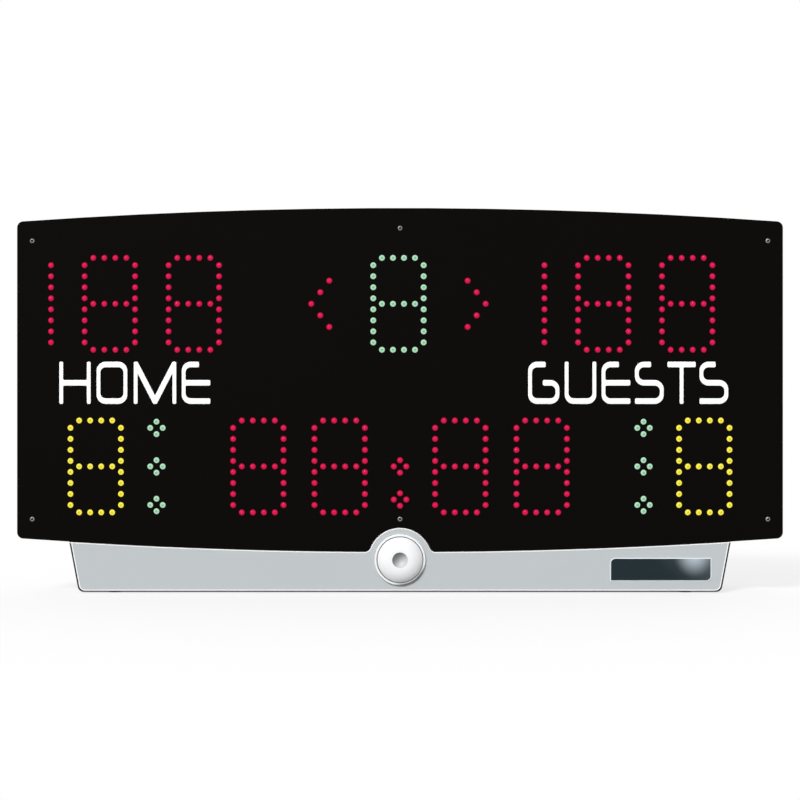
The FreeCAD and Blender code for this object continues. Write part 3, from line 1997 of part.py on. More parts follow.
# The cover's dome is an arc from its edge to the mouth's lip, and the mouth is a shallow dish
cover_radius = lip_radius - s.cover_groove
lip_outer = s.mouth_radius + s.mouth_lip
dome_front = -s.horn_reach
edge_front = -s.cover_edge_reach
dome_run = edge_front - dome_front
dome_span = cover_radius - lip_outer
dome_radius = (dome_run * dome_run + dome_span * dome_span) / (2 * dome_run)
dome_centre = (dome_front + dome_radius, lip_outer)
dish_floor = dome_front + s.mouth_depth
dish_radius = (s.mouth_depth * s.mouth_depth + s.mouth_radius * s.mouth_radius) / (2 * s.mouth_depth)
cover_inner = cover_radius - s.cover_wall
inner_front = edge_front + s.cover_wall
cover = new_body("horn_cover_blank")
turn(
    cover,
    [
        (dish_floor, 0, (dish_floor - dish_radius, 0)),
        (dome_front, s.mouth_radius),
        (dome_front, lip_outer, dome_centre),
        (edge_front, cover_radius),
        (s.cover_seat, cover_radius),
        (s.cover_seat, cover_inner),
        (inner_front, cover_inner),
        (dish_floor + s.cover_wall, lip_outer),
        (dish_floor + s.cover_wall, 0),
    ],
)
driver_flange_back = shelf_back + s.driver_flange
driver_back = driver_flange_back + s.driver_depth
magnet_back = driver_back + s.magnet_depth
driver = new_body("horn_driver_blank")
flange_radius = lip_radius - s.sleeve_clearance
turn(
    driver,
    [
        (shelf_back, 0),
        (shelf_back, flange_radius),
        (driver_flange_back, flange_radius),
        (driver_flange_back, s.driver_radius),
        (driver_back, s.driver_radius),
        (driver_back, s.magnet_radius),
        (magnet_back, s.magnet_radius),
        (magnet_back, 0),
    ],
)
for name, item in (
    ("horn_bezel", bezel),
    ("horn_gasket", gasket),
    ("horn_ring_nut", horn_nut),
    ("horn_cover", cover),
    ("horn_driver", driver),
):
    bind(item, "Placement.Base.z", s.horn_rise)
    node(together(name, [item]))

# Nameplate on the fascia: two large corners and two small ones

nameplate = new_body("nameplate")
plate_sketch = new_sketch(nameplate, "XZ_Plane", -s.plate_thick)
left = base_half - s.plate_side_inset - s.plate_width / 2
right = left + s.plate_width
low = s.plate_rise - s.plate_height / 2
high = low + s.plate_height
big = s.plate_round
small = s.plate_corner
draw(
    plate_sketch,
    [
        (left, low + small, (left + small, low + small)),
        (left + small, low),
        (right - big, low, (right - big, low + big)),
        (right, low + big),
        (right, high - small, (right - small, high - small)),
        (right - small, high),
        (left + big, high, (left + big, high - big)),
        (left, high - big),
    ],
)
pad(plate_sketch, s.plate_thick)
node(nameplate)

doc.recompute()

# Checks before anything is written

for item in doc.Objects:
    if "Invalid" in item.State or "Error" in item.State:
        raise RuntimeError(f"{item.Label} failed to compute: {item.State}")
least_cut = float(s.overrun * s.overrun * s.overrun)
for feature in pockets:
    if feature.BaseFeature.Shape.Volume - feature.Shape.Volume < least_cut:
        raise RuntimeError(f"{feature.Label} cuts nothing")
for item in nodes:
    if item.Shape.isNull() or not item.Shape.isValid():
        raise RuntimeError(f"{item.Label} has no valid shape")

os.makedirs("parts", exist_ok=True)
for item in nodes:
    item.Shape.exportStep(f"parts/{item.Label}.step")
print(len(nodes), "sub-parts written")
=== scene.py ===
# %% [markdown]
# # Dressing a portable scoreboard in Blender
#
# The scoreboard arrives as finished CAD parts. This file gives every part its finish, adds the small detail
# that only matters to the eye, and sets up a plain studio. Each step says what the real thing is, which ways
# there are to make it, and why this one was taken.
#
# The CAD model is loaded once, as a fixed frame. Nothing in it is moved. A node here is one named CAD part.

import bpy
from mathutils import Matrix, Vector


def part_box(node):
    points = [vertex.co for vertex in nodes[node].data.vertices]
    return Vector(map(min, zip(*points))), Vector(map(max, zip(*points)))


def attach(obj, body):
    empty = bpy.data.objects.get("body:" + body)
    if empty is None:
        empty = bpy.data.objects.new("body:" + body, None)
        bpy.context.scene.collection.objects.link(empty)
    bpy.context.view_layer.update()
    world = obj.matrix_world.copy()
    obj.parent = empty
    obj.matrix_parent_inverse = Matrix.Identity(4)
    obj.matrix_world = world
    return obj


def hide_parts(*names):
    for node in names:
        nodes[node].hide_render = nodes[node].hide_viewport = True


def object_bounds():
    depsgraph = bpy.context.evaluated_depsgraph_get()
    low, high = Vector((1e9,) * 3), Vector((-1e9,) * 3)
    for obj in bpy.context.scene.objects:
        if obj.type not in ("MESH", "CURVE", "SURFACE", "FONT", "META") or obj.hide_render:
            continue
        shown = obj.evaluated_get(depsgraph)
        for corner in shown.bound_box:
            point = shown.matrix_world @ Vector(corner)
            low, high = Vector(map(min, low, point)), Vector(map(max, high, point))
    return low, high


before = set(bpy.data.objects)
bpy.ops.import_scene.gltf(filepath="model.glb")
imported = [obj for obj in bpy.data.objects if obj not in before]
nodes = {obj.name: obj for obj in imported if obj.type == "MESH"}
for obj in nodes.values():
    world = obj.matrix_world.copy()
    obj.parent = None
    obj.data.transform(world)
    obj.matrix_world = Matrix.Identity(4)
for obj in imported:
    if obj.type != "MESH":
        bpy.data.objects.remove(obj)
cad_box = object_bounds()

# %% The modules and the unit
import math

import bmesh
import bpy
from mathutils import Matrix, Vector

MM = 0.001
WELD = 0.001 * MM
EDGE_SOFT = 0.1 * MM
FULL_TURN = 2 * math.pi
QUARTER_TURN = math.pi / 2

# %% [markdown]
# ## Colours as they are read off a screen
#
# A shader works with linear light, but a colour given here is written in the screen's 0 to 255 steps.
# One small function turns the second into the first.


# %% A colour from screen values
def screen(red, green, blue):
    """Linear red, green, blue and full opacity from values of 0 to 255."""
    light = []
    for step in (red, green, blue):
        share = step / 255
        light.append(share / 12.92 if share <= 0.04045 else ((share + 0.055) / 1.055) ** 2.4)
    return (*light, 1.0)


print("mid grey 186 is", round(screen(186, 186, 186)[0], 3), "in linear light")

# %% [markdown]
# ## Shader sums written as sums
#
# Node trees are usually drawn by hand. In code they read best as arithmetic, so a socket is wrapped in a
# class whose operators each add one Math node. They come in pairs, because in `1 - mask` the plain number
# stands on the left.


# %% A socket that can be used in a sum
def feed(socket, value):
    """Link a wire to a socket, or set a plain value on it."""
    if isinstance(value, Wire):
        socket.id_data.links.new(value.socket, socket)
    else:
        socket.default_value = value


def operators(operation):
    """Two operators for one Math node: with the wire on the left, and with the wire on the right."""
    return (
        lambda wire, other=0.0: wire.math(operation, wire, other),
        lambda wire, other: wire.math(operation, other, wire),
    )


class Wire:
    """An output socket. Each operator on it adds the Math node that does the sum."""

    def __init__(self, socket):
        self.socket = socket

    def math(self, operation, first, second=0.0):
        node = self.socket.id_data.nodes.new("ShaderNodeMath")
        node.operation = operation
        feed(node.inputs[0], first)
        feed(node.inputs[1], second)
        return Wire(node.outputs[0])

    __add__, __radd__ = operators("ADD")
    __sub__, __rsub__ = operators("SUBTRACT")
    __mul__, __rmul__ = operators("MULTIPLY")
    __pow__ = operators("POWER")[0]
    __abs__ = operators("ABSOLUTE")[0]
    __lt__ = operators("LESS_THAN")[0]
    __gt__ = operators("GREATER_THAN")[0]
    floor_at = operators("MAXIMUM")[0]
    at_most = operators("MINIMUM")[0]


# %% [markdown]
# ## One material at a time
#
# A finish is a Principled shader and whatever varies over the surface: colour, roughness and relief. Values
# that are the same all over are set on the shader itself. Every other node comes from one method, with what
# goes into its sockets. From here on a colour is three screen values.


# %% A material under construction
class Finish:
    """A material with its Principled shader, and one way to add any other node."""

    def __init__(self, name, **constants):
        self.material = bpy.data.materials.new(name)
        self.material.use_nodes = True
        self.tree = self.material.node_tree
        self.shader = self.tree.nodes["Principled BSDF"]
        for words, value in constants.items():
            self.set(words.replace("_", " "), value)

    def set(self, socket, value):
        names = {name.lower(): name for name in self.shader.inputs.keys()}
        feed(self.shader.inputs[names[socket.lower()]], value)

    def node(self, kind, output=0, inputs=None, **settings):
        """Add a node with its settings and inputs, and return one of its outputs as a wire."""
        node = self.tree.nodes.new(kind)
        for name, value in settings.items():
            setattr(node, name, value)
        for name, value in (inputs or {}).items():
            feed(node.inputs[name], value)
        return Wire(node.outputs[output])

    def places(self):
        return self.node("ShaderNodeTexCoord", "Object")

    def parts_of(self, vector):
        """The three numbers of a vector, each as a wire."""
        node = self.tree.nodes.new("ShaderNodeSeparateXYZ")
        feed(node.inputs[0], vector)
        return [Wire(output) for output in node.outputs]

    def axes(self):
        """How far across, back and up a point is."""
        return self.parts_of(self.places())

    def normal(self):
        """The same three numbers of the surface's direction."""
        return self.parts_of(self.node("ShaderNodeNewGeometry", "Normal"))

    def noise(self, scale, detail=3.0, roughness=0.5, places=None):
        inputs = {"Vector": places or self.places(), "Scale": scale, "Detail": detail}
        return self.node("ShaderNodeTexNoise", "Fac", {**inputs, "Roughness": roughness})

    def cells(self, scale):
        """A random number for each small cell."""
        return self.node("ShaderNodeTexVoronoi", "Color", {"Vector": self.places(), "Scale": scale})

    def blend(self, mask, low, high):
        """A colour between two others, each a wire or three screen values."""
        low, high = (colour if isinstance(colour, Wire) else screen(*colour) for colour in (low, high))
        return self.node("ShaderNodeMix", 2, {0: mask, 6: low, 7: high}, data_type="RGBA")

    def ease(self, value, start, end):
        """0 before the start, 1 after the end, and a smooth rise between."""
        inputs = {"Value": value, "From Min": start, "From Max": end}
        return self.node("ShaderNodeMapRange", 0, inputs, interpolation_type="SMOOTHSTEP")

    def within(self, distance, limit):
        """1 where a distance is under a limit, 0 beyond it, with a softened step."""
        return 1 - self.ease(distance, limit - EDGE_SOFT, limit + EDGE_SOFT)

    def surface(self, colour, roughness, height, depth):
        """Set colour and roughness, and raise the surface by a height pattern, up to a depth."""
        self.colour = colour
        self.set("base color", colour)
        self.set("roughness", roughness)
        inputs = {"Strength": 1.0, "Distance": depth, "Height": height}
        self.set("normal", self.node("ShaderNodeBump", 0, inputs))
        return self


def dress(finish, *names):
    """Give CAD parts a finish."""
    for name in names:
        materials = nodes[name].data.materials
        materials.clear()
        materials.append(finish.material)
    print(finish.material.name, "on", ", ".join(names))


def box(name):
    """Lowest corner, middle and highest corner of a CAD part."""
    low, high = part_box(name)
    return low, (low + high) / 2, high


# %% [markdown]
# ## Painted sheet metal
#
# The head, the case and the base are powder coated. Sprayed powder melts into a skin with a fine orange
# peel and tiny flecks, so the paint is a base colour, a fleck mask from cell noise, a slow cloudy variation
# and a shallow bump. One function serves every painted part.

# %% Grain of the paint, as repeats over a metre
FLECK_SCALE, CLOUD_SCALE, SHEEN_SCALE, PEEL_SCALE = 1500.0, 9.0, 260.0, 900.0
FLECK_SHARE, CLOUD_SHARE, SHEEN_SHARE = 0.12, 0.10, 0.08
FLECK_STEP = (0.55, 0.95)
PEEL = 0.04 * MM


# %% Powder coat
def powder_coat(name, colour, fleck, roughness, specular):
    finish = Finish(name, specular_ior_level=specular)
    flecks = finish.ease(finish.cells(FLECK_SCALE), *FLECK_STEP)
    cloud = finish.noise(CLOUD_SCALE, detail=2.0)
    paint = finish.blend(FLECK_SHARE * flecks + CLOUD_SHARE * cloud, colour, fleck)
    sheen = roughness + SHEEN_SHARE * finish.noise(SHEEN_SCALE)
    return finish.surface(paint, sheen, finish.noise(PEEL_SCALE, detail=2.0), PEEL)


panel_black = powder_coat("panel_black", (5, 4, 3), (14, 13, 11), 0.55, 0.03)
case_grey = powder_coat("case_grey", (58, 59, 61), (92, 94, 97), 0.46, 0.3)
dress(panel_black, "front_panel")
dress(case_grey, "case_frame", "rear_cover")

# %% [markdown]
# ## The silver base and its edge lines
#
# The base's front has a painted highlight just inside its edge, where the bevel catches the light, and
# painted shade as a dark line along its sides and bottom. They could be thin strips of mesh, but have no
# thickness, so
# they are painted: the shader works out the distance to the outline from the slope of the side and the
# roundness of the corner. The painted highlight round the nameplate's edge is made the same way.

# %% Sizes of the base's front
base_low, base_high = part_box("base_shell")
BASE_SLOPE = math.radians(10.72)
BASE_CORNER = 8.0 * MM
BASE_FOOT_HALF = 428.05 * MM
EDGE_DARK = 1.8 * MM
EDGE_BRIGHT = 3.1 * MM
EDGE_SIDE = 0.5 * MM
plate_low, plate_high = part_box("nameplate")
PLATE_BORDER = 0.2 * MM
PLATE_CORNER = 6.0 * MM
PLATE_RIM = 1.1 * MM
FRONT_FACING, BEVEL_FACING, TOP_FACING = -0.6, -0.85, 0.02
SILVER, SILVER_FLECK = (190, 195, 198), (211, 215, 218)
# Colours of the painted highlight, the painted shade and the nameplate's painted edge highlight.
HIGHLIGHT_LINE, SHADE_LINE, PLATE_HIGHLIGHT = (255, 255, 255), (12, 13, 15), (226, 232, 236)
print("the base is", round(base_high.x - base_low.x, 4), "m wide at its top")


# %% Silver paint with its edge lines
def round_corner(side, other_side, radius):
    """Distance from a rounded corner, from the distances to its two sides."""
    near = (radius - side).floor_at(0.0)
    other_near = (radius - other_side).floor_at(0.0)
    return radius - (near * near + other_near * other_near) ** 0.5


def plate_distance(finish, growth):
    """Distance inwards from the nameplate's outline, grown on all sides."""
    across, _, up = finish.axes()
    left, right = across - (plate_low.x - growth), plate_high.x + growth - across
    below, above = up - (plate_low.z - growth), plate_high.z + growth - up
    inwards = left.at_most(right).at_most(below.at_most(above))
    corner = PLATE_CORNER + growth
    return inwards.at_most(round_corner(left, above, corner)).at_most(round_corner(right, below, corner))


base_silver = powder_coat("base_silver", SILVER, SILVER_FLECK, 0.42, 0.35)
across, _, up = base_silver.axes()
rise = up - base_low.z
side = (BASE_FOOT_HALF + math.tan(BASE_SLOPE) * rise - abs(across)) * math.cos(BASE_SLOPE) - EDGE_SIDE
inwards = side.at_most(rise).at_most(round_corner(side, rise, BASE_CORNER))
_, facing, upwards = base_silver.normal()
front = facing < FRONT_FACING
# Painted highlight: the bevel faces that look up, and a band just inside the sides and bottom, are painted
# white. Painted shade: a dark band along the outer edge of the sides and bottom.
bevel_highlight = front * (facing > BEVEL_FACING) * (upwards > TOP_FACING)
bright = (front * base_silver.within(inwards, EDGE_BRIGHT)).floor_at(bevel_highlight)
dark = front * base_silver.within(inwards, EDGE_DARK) * (1 - bevel_highlight)
# Painted highlight: a light band round the nameplate, as if its edge caught the light.
plate_rim = front * (plate_distance(base_silver, PLATE_RIM) > 0.0)
painted = base_silver.colour
for mask, line in ((bright, HIGHLIGHT_LINE), (dark, SHADE_LINE), (plate_rim, PLATE_HIGHLIGHT)):
    painted = base_silver.blend(mask, painted, line)
base_silver.set("base color", painted)
dress(base_silver, "base_shell")

back_silver = powder_coat("back_silver", SILVER, SILVER_FLECK, 0.42, 0.35)
dress(back_silver, "base_back", "battery_door")

# %% [markdown]
# ## Lamps
#
# Each lamp is a clear tinted dome over a small reflector cup. Face on, the rim of the dome bends light from
# the cup's wall and has a tone of its own. The tilt of the surface tells the rim from the middle, so one mask
# from the normal does it for all lamps at once. A little emission keeps them lit, over a base that is nearly
# black, so that daylight doesn't wash them out.

# %% Lamp lenses
LENS_MIDDLE_TILT, LENS_RIM_TILT = 0.04, 0.2
LENS_DARKNESS = 0.75
LENS_GRAIN, LENS_GRAIN_SHARE = 700.0, 0.08


def lens(name, middle, rim, glow):
    finish = Finish(name, roughness=0.4, specular_ior_level=0.15, coat_weight=0.05, emission_strength=glow)
    _, facing, _ = finish.normal()
    tilt = finish.ease(1 + facing, LENS_MIDDLE_TILT, LENS_RIM_TILT)
    tint = finish.blend(tilt + LENS_GRAIN_SHARE * finish.noise(LENS_GRAIN), middle, rim)
    finish.set("base color", finish.blend(LENS_DARKNESS, tint, (6, 6, 6)))
    finish.set("emission color", tint)
    return finish


lamp_red = lens("lamp_red", (228, 0, 60), (206, 16, 78), 0.8)
lamp_green = lens("lamp_green", (122, 180, 138), (182, 228, 194), 0.8)
lamp_yellow = lens("lamp_yellow", (214, 198, 0), (252, 236, 82), 0.85)
green_nodes = ["period_leds", "home_timeout_leds", "guest_timeout_leds"]
yellow_nodes = ["home_foul_leds", "guest_foul_leds"]
led_nodes = sorted(name for name in nodes if name.endswith("_leds"))
red_nodes = [name for name in led_nodes if name not in green_nodes + yellow_nodes]
print(len(red_nodes), "groups of red lamps")

# %% [markdown]
# ## Bare and plated metal
#
# Screws, the handle and the connector shell are plated steel, the spacers are brass. Metal colour sits in
# Base Color with Metallic at 1, and what the eye reads as plating is a noise in the roughness, stretched to
# short brush marks by scaling its coordinates.


# %% Metals
BRUSH_SHEEN, BRUSH_DEPTH = 0.16, 0.01 * MM


def metal(name, colour, shade, roughness, brush=(1.0, 1.0, 1.0), scale=1600.0):
    finish = Finish(name, metallic=1.0)
    inputs = {0: finish.places(), 1: brush}
    stretched = finish.node("ShaderNodeVectorMath", 0, inputs, operation="MULTIPLY")
    marks = finish.noise(scale, detail=4.0, places=stretched)
    sheen = roughness + BRUSH_SHEEN * (marks - 0.5)
    return finish.surface(finish.blend(marks, shade, colour), sheen, marks, BRUSH_DEPTH)


screw_dark = metal("screw_dark", (150, 150, 149), (134, 134, 134), 0.45)
screw_steel = metal("screw_steel", (184, 184, 182), (166, 166, 165), 0.3, scale=4000.0)
handle_steel = metal("handle_steel", (196, 198, 200), (176, 178, 180), 0.28, (0.1, 1.0, 1.0))
socket_steel = metal("socket_steel", (202, 203, 198), (186, 187, 184), 0.3, scale=3000.0)
driver_metal = metal("driver_metal", (150, 150, 155), (124, 124, 130), 0.4)
supply_aluminium = metal("supply_aluminium", (206, 208, 210), (186, 188, 190), 0.38, (1, 1, 0.1))
spacer_brass = metal("spacer_brass", (214, 188, 120), (192, 164, 98), 0.3, scale=3000.0)
dress(screw_steel, "panel_nuts", "board_screws", "base_bolts", "base_nuts", "door_pins", "mount_inserts")
dress(handle_steel, "handle_brackets")
dress(driver_metal, "horn_driver")
dress(supply_aluminium, "power_supply")
dress(spacer_brass, "board_spacers", "controller_posts")

# %% [markdown]
# ## Plastics, rubber and boards
#
# Moulded plastic has a spark-eroded grain, and rubber is rougher and dusty. Both are grain over a quiet
# colour, so they share one function. A circuit board is a green lacquer with copper tracks that show through
# as lighter lines, here the edges of square cells.


# %% Moulded plastic and rubber
WEAR_SCALE, WEAR_SHARE, GRAIN_SHARE, GRAIN_SHEEN = 24.0, 0.5, 0.3, 0.1


def moulded(name, colour, worn, roughness, grain=1300.0, depth=0.03 * MM, specular=0.4):
    finish = Finish(name, specular_ior_level=specular)
    texture = finish.noise(grain, detail=2.0)
    wear = WEAR_SHARE * finish.noise(WEAR_SCALE) + GRAIN_SHARE * texture
    return finish.surface(finish.blend(wear, colour, worn), roughness + GRAIN_SHEEN * texture, texture, depth)


plastic_black = moulded("plastic_black", (24, 24, 25), (50, 50, 52), 0.42)
rubber_black = moulded("rubber_black", (26, 26, 27), (58, 58, 58), 0.72, 800.0, 0.05 * MM, 0.25)
battery_grey = moulded("battery_grey", (78, 82, 88), (100, 104, 110), 0.4)
cable_grey = moulded("cable_grey", (86, 86, 90), (112, 112, 116), 0.5, 900.0)
horn_white = moulded("horn_white", (246, 247, 248), (250, 250, 251), 0.34, 1800.0, 0.004 * MM)
dress(plastic_black, "power_inlet", "switch_frame", "power_rocker", "fuse_holder", "horn_ring_nut")
dress(rubber_black, "horn_gasket")
dress(battery_grey, "battery_pack")
dress(cable_grey, "wiring")

# %% Circuit boards
TRACK_SCALE, TRACK_PATCHES = 190.0, 40.0
TRACK_EDGE = 0.4
COPPER, LACQUER_SHEEN = 0.02 * MM, 0.36


def lacquered_board(name, lacquer, track):
    finish = Finish(name)
    inputs = {"Vector": finish.places(), "Scale": TRACK_SCALE, "Randomness": 0.0}
    grid = finish.node("ShaderNodeTexVoronoi", "Distance", inputs, distance="CHEBYCHEV")
    tracks = (grid > TRACK_EDGE) * (finish.noise(TRACK_PATCHES) > 0.5)
    return finish.surface(finish.blend(tracks, lacquer, track), LACQUER_SHEEN, tracks, COPPER)


circuit_board = lacquered_board("circuit_board", (24, 92, 52), (56, 132, 78))
board_nodes = sorted(name for name in nodes if name.endswith("_board"))
dress(circuit_board, *board_nodes)

# %% [markdown]
# ## The horn's ring and the nameplate
#
# The ring around the horn is satin paint on turned metal: fine circles about the horn's own axis, made from
# the distance to that axis, and painted shade on its lower right side. The plate is a plain dark film with a
# soft painted sheen near its upper right end, a smooth spot that is placed in shares of the plate's own box.

# %% Satin ring
horn_low, horn_centre, horn_high = box("horn_cover")
RING_PITCH, RING_DEPTH = 0.35 * MM, 0.004 * MM
RECESS = 10.35 * MM
COVER_RIM = (horn_high.x - horn_low.x) / 2 - 0.7 * MM
GROOVE_SHADE = (150, 152, 154)
SHADE_ACROSS, SHADE_UP = 0.53, -0.85
SHADE_SIDE, SHADE_FULL = 0.62, 0.95
SHADE_INNER, SHADE_OUTER = 31.3 * MM, 33.0 * MM
SHADE_LEAST = 0.3


def axis_distance(finish):
    """Distance from the horn's axis."""
    across, _, up = finish.axes()
    off = up - horn_centre.z
    return (across * across + off * off) ** 0.5


bezel_silver = Finish("bezel_silver", specular_ior_level=0.5)
patches = bezel_silver.node("ShaderNodeTexNoise", "Fac", {"Scale": 4.0, "Detail": 2.0})
off_axis = axis_distance(bezel_silver)
rings = off_axis * (FULL_TURN / RING_PITCH)
turned = rings.math("SINE", rings)
satin = bezel_silver.blend(0.5 + 0.2 * turned, (236, 238, 240), (250, 251, 252))
across, _, up = bezel_silver.axes()
# Painted shade: the ring is painted darker on its lower right side, more so towards its outer edge.
away = (SHADE_ACROSS * across + SHADE_UP * (up - horn_centre.z)) * off_axis**-1.0
outer = SHADE_LEAST + (1 - SHADE_LEAST) * bezel_silver.ease(off_axis, SHADE_INNER, SHADE_OUTER)
painted_ring_shade = bezel_silver.ease(away, SHADE_SIDE, SHADE_FULL) * outer
gloss = 0.32 + 0.06 * turned + 0.04 * patches
bezel_silver.surface(bezel_silver.blend(painted_ring_shade, satin, (112, 114, 116)), gloss, turned, RING_DEPTH)
dress(bezel_silver, "horn_bezel")

# %% White cover with painted shade in its recess and groove
off_axis = axis_distance(horn_white)
deep = horn_white.within(off_axis, RECESS)
# Painted shade and painted light: the recess is painted dark towards its upper left and light towards its
# lower right, and a grey ring along the cover's rim is painted shade in the groove.
across, _, up = horn_white.axes()
slant = horn_white.ease(across - (up - horn_centre.z), -RECESS, RECESS)
shade = horn_white.blend(slant, (128, 130, 132), (206, 208, 210))
groove_shade = horn_white.ease(off_axis, COVER_RIM, COVER_RIM + EDGE_SOFT)
cover = horn_white.blend(groove_shade, horn_white.colour, GROOVE_SHADE)
horn_white.set("base color", horn_white.blend(deep, cover, shade))
dress(horn_white, "horn_cover")

# %% Nameplate film
plate_size = plate_high - plate_low
SPOT_ACROSS, SPOT_UP = 0.835, 1.26
SPOT_NARROW, SPOT_FLAT = 4.26, 0.78
SPOT_REACH = 0.95
SWEEP_LEAN, SWEEP_START, SWEEP_END = 0.25, 0.6, 1.3
plate_dark = Finish("plate_dark", roughness=0.4, specular_ior_level=0.12)
across, _, up = plate_dark.axes()
share_across = (across - plate_low.x) * (1 / plate_size.x)
share_up = (up - plate_low.z) * (1 / plate_size.z)
# Painted sheen: a light spot near the plate's upper right end and a faint sweep towards its right, painted
# into the film's colour.
spot_across = (share_across - SPOT_ACROSS) * SPOT_NARROW
spot_up = (share_up - SPOT_UP) * SPOT_FLAT
sheen_spot = 1 - plate_dark.ease((spot_across * spot_across + spot_up * spot_up) ** 0.5, 0.0, SPOT_REACH)
sweep = plate_dark.ease(share_across + SWEEP_LEAN * share_up, SWEEP_START, SWEEP_END)
glow = 0.9 * sheen_spot + 0.1 * sweep + 0.02 * plate_dark.noise(500.0)
film = plate_dark.blend(glow, (18, 34, 40), (190, 204, 212))
# Painted highlight along the plate's own edge.
border = plate_distance(plate_dark, 0.0) < PLATE_BORDER
plate_dark.set("base color", plate_dark.blend(border, film, PLATE_HIGHLIGHT))
dress(plate_dark, "nameplate")
print("the plate is", [round(length / MM, 1) for length in plate_size], "mm")

# %% [markdown]
# ## Finding single solids inside a node
#
# One node can hold a group of like pieces, such as the rear cover's screws. To put a detailed screw where
# each plain one is, the node's mesh is welded and walked: what hangs together is one solid, and its box
# gives its place and size.


# %% Boxes of the solids in a node
def welded(mesh, reach=WELD):
    """A bmesh of a mesh, with points at one place made one."""
    work = bmesh.new()
    work.from_mesh(mesh)
    bmesh.ops.remove_doubles(work, verts=work.verts, dist=reach)
    return work


def solids(name):
    """Lowest corner, middle and highest corner of each solid of a node, from left to right."""
    work = welded(nodes[name].data)
    boxes = []
    waiting = set(work.verts)
    while waiting:
        reached = [waiting.pop()]
        for vertex in reached:
            around = {edge.other_vert(vertex) for edge in vertex.link_edges} & waiting
            waiting -= around
            reached.extend(around)
        places = list(zip(*(vertex.co for vertex in reached)))
        low, high = (Vector([pick(values) for values in places]) for pick in (min, max))
        boxes.append((low, (low + high) / 2, high))
    return sorted(boxes, key=lambda found: (round(found[0].x, 4), found[0].z))


panel_low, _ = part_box("front_panel")
print("the rear cover is held by", len(solids("rear_screws")), "screws")

# %% [markdown]
# ## Turned pieces
#
# A screw, a foot, a grip and a fuse cap are all lathe work: a profile turned about an axis. The Screw
# modifier could turn it, but a short function with bmesh gives full control of the seam and the poles.
# Smooth shading with a sharp-angle limit keeps crisp steps crisp.

# %% A turned mesh and a finished piece
SEGMENTS = 48
SHARP = math.radians(35)


def stages(end, count):
    """Numbers in even steps from zero to an end, both included."""
    return [end * step / count for step in range(count + 1)]


def rounding(face, radius, edge, count):
    """Profile points of a quarter round, from a flat face out to the full radius."""
    turns = stages(QUARTER_TURN, count)
    return [(face + edge - edge * math.cos(turn), radius - edge + edge * math.sin(turn)) for turn in turns]


def skin(work, rings):
    """Outward faces between neighbouring rings of vertices; a ring of one vertex is a pole."""
    for near, far in zip(rings, rings[1:]):
        for step in range(max(len(near), len(far))):
            around = ((near, step), (near, step + 1), (far, step + 1), (far, step))
            corners = [ring[place % len(ring)] for ring, place in around]
            work.faces.new(sorted(set(corners), key=corners.index))
    bmesh.ops.recalc_face_normals(work, faces=work.faces)


def turned_mesh(profile, segments=SEGMENTS):
    """Turn (place along Y, radius) points about the Y axis into a closed mesh."""
    work = bmesh.new()
    rings = []
    for place, radius in profile:
        turns = stages(FULL_TURN, segments if radius > 0 else 1)[:-1]
        ring = [(radius * math.cos(turn), place, radius * math.sin(turn)) for turn in turns]
        rings.append([work.verts.new(corner) for corner in ring])
    skin(work, rings)
    return work


def at(across, back, up):
    return Matrix.Translation((across, back, up))


def as_mesh(name, work):
    mesh = bpy.data.meshes.new(name)
    work.to_mesh(mesh)
    return mesh


def in_scene(name, data):
    item = bpy.data.objects.new(name, data)
    bpy.context.scene.collection.objects.link(item)
    return item


def piece(name, work, finish, body="root", replaced=()):
    """Make a bmesh a finished piece that rides on a body and may stand for CAD nodes."""
    mesh = as_mesh(name, work)
    mesh.materials.append(finish.material)
    for polygon in mesh.polygons:
        polygon.use_smooth = True
    mesh.set_sharp_from_angle(angle=SHARP)
    item = in_scene(name, mesh)
    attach(item, body)
    if replaced:
        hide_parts(*replaced)
    print(name, "has", len(mesh.polygons), "faces")


def gather(parts):
    """Join (bmesh, matrix) pairs into one new bmesh."""
    joined = bmesh.new()
    for part, matrix in parts:
        mesh = as_mesh("part", part)
        mesh.transform(matrix)
        joined.from_mesh(mesh)
        bpy.data.meshes.remove(mesh)
    return joined


# %% [markdown]
# ## Screws with a cross recess
#
# The CAD screws have plain domed heads. A real one has a cross that tapers inwards, and the six on the panel
# have a hexagon. A Boolean takes a cutter of that form out of the head. One screw of each kind is made, then
# copied to every place in the node.

# %% The cross recess
HEAD_ARC_STEPS = 10
HEXAGON_RADIUS, HEXAGON_DEPTH = 0.52, 0.85
CROSS_REACH, CROSS_WIDTH, CROSS_DEPTH, CROSS_TAPER = 0.58, 0.22, 0.7, 0.7


def cross_cutter(head_radius, head_height):
    """A cross-shaped bar about the Y axis, narrower at its deep end."""
    half, reach = CROSS_WIDTH * head_radius / 2, CROSS_REACH * head_radius
    depth = CROSS_DEPTH * head_height
    quarter = [(half, half), (half, reach), (-half, reach)]
    corners = []
    for step in range(4):
        turn = Matrix.Rotation(QUARTER_TURN * step, 2)
        corners += [turn @ Vector(corner) for corner in quarter]
    work = bmesh.new()
    ends = []
    for place, share in ((-depth, 1.0), (depth, CROSS_TAPER)):
        ring = [work.verts.new((corner.x * share, place, corner.y * share)) for corner in corners]
        work.faces.new(ring)
        ends.append(ring)
    skin(work, ends)
    return work


def carved(base, cutter):
    """The base with the cutter taken out, both given as bmeshes."""
    stock, tool = (in_scene("scratch", as_mesh("scratch", work)) for work in (base, cutter))
    carve = stock.modifiers.new("carve", "BOOLEAN")
    carve.operation, carve.solver, carve.object = "DIFFERENCE", "EXACT", tool
    result = bpy.data.meshes.new_from_object(stock.evaluated_get(bpy.context.evaluated_depsgraph_get()))
    work = welded(result, WELD / 2)
    for mesh in (stock.data, tool.data, result):
        bpy.data.meshes.remove(mesh)
    return work


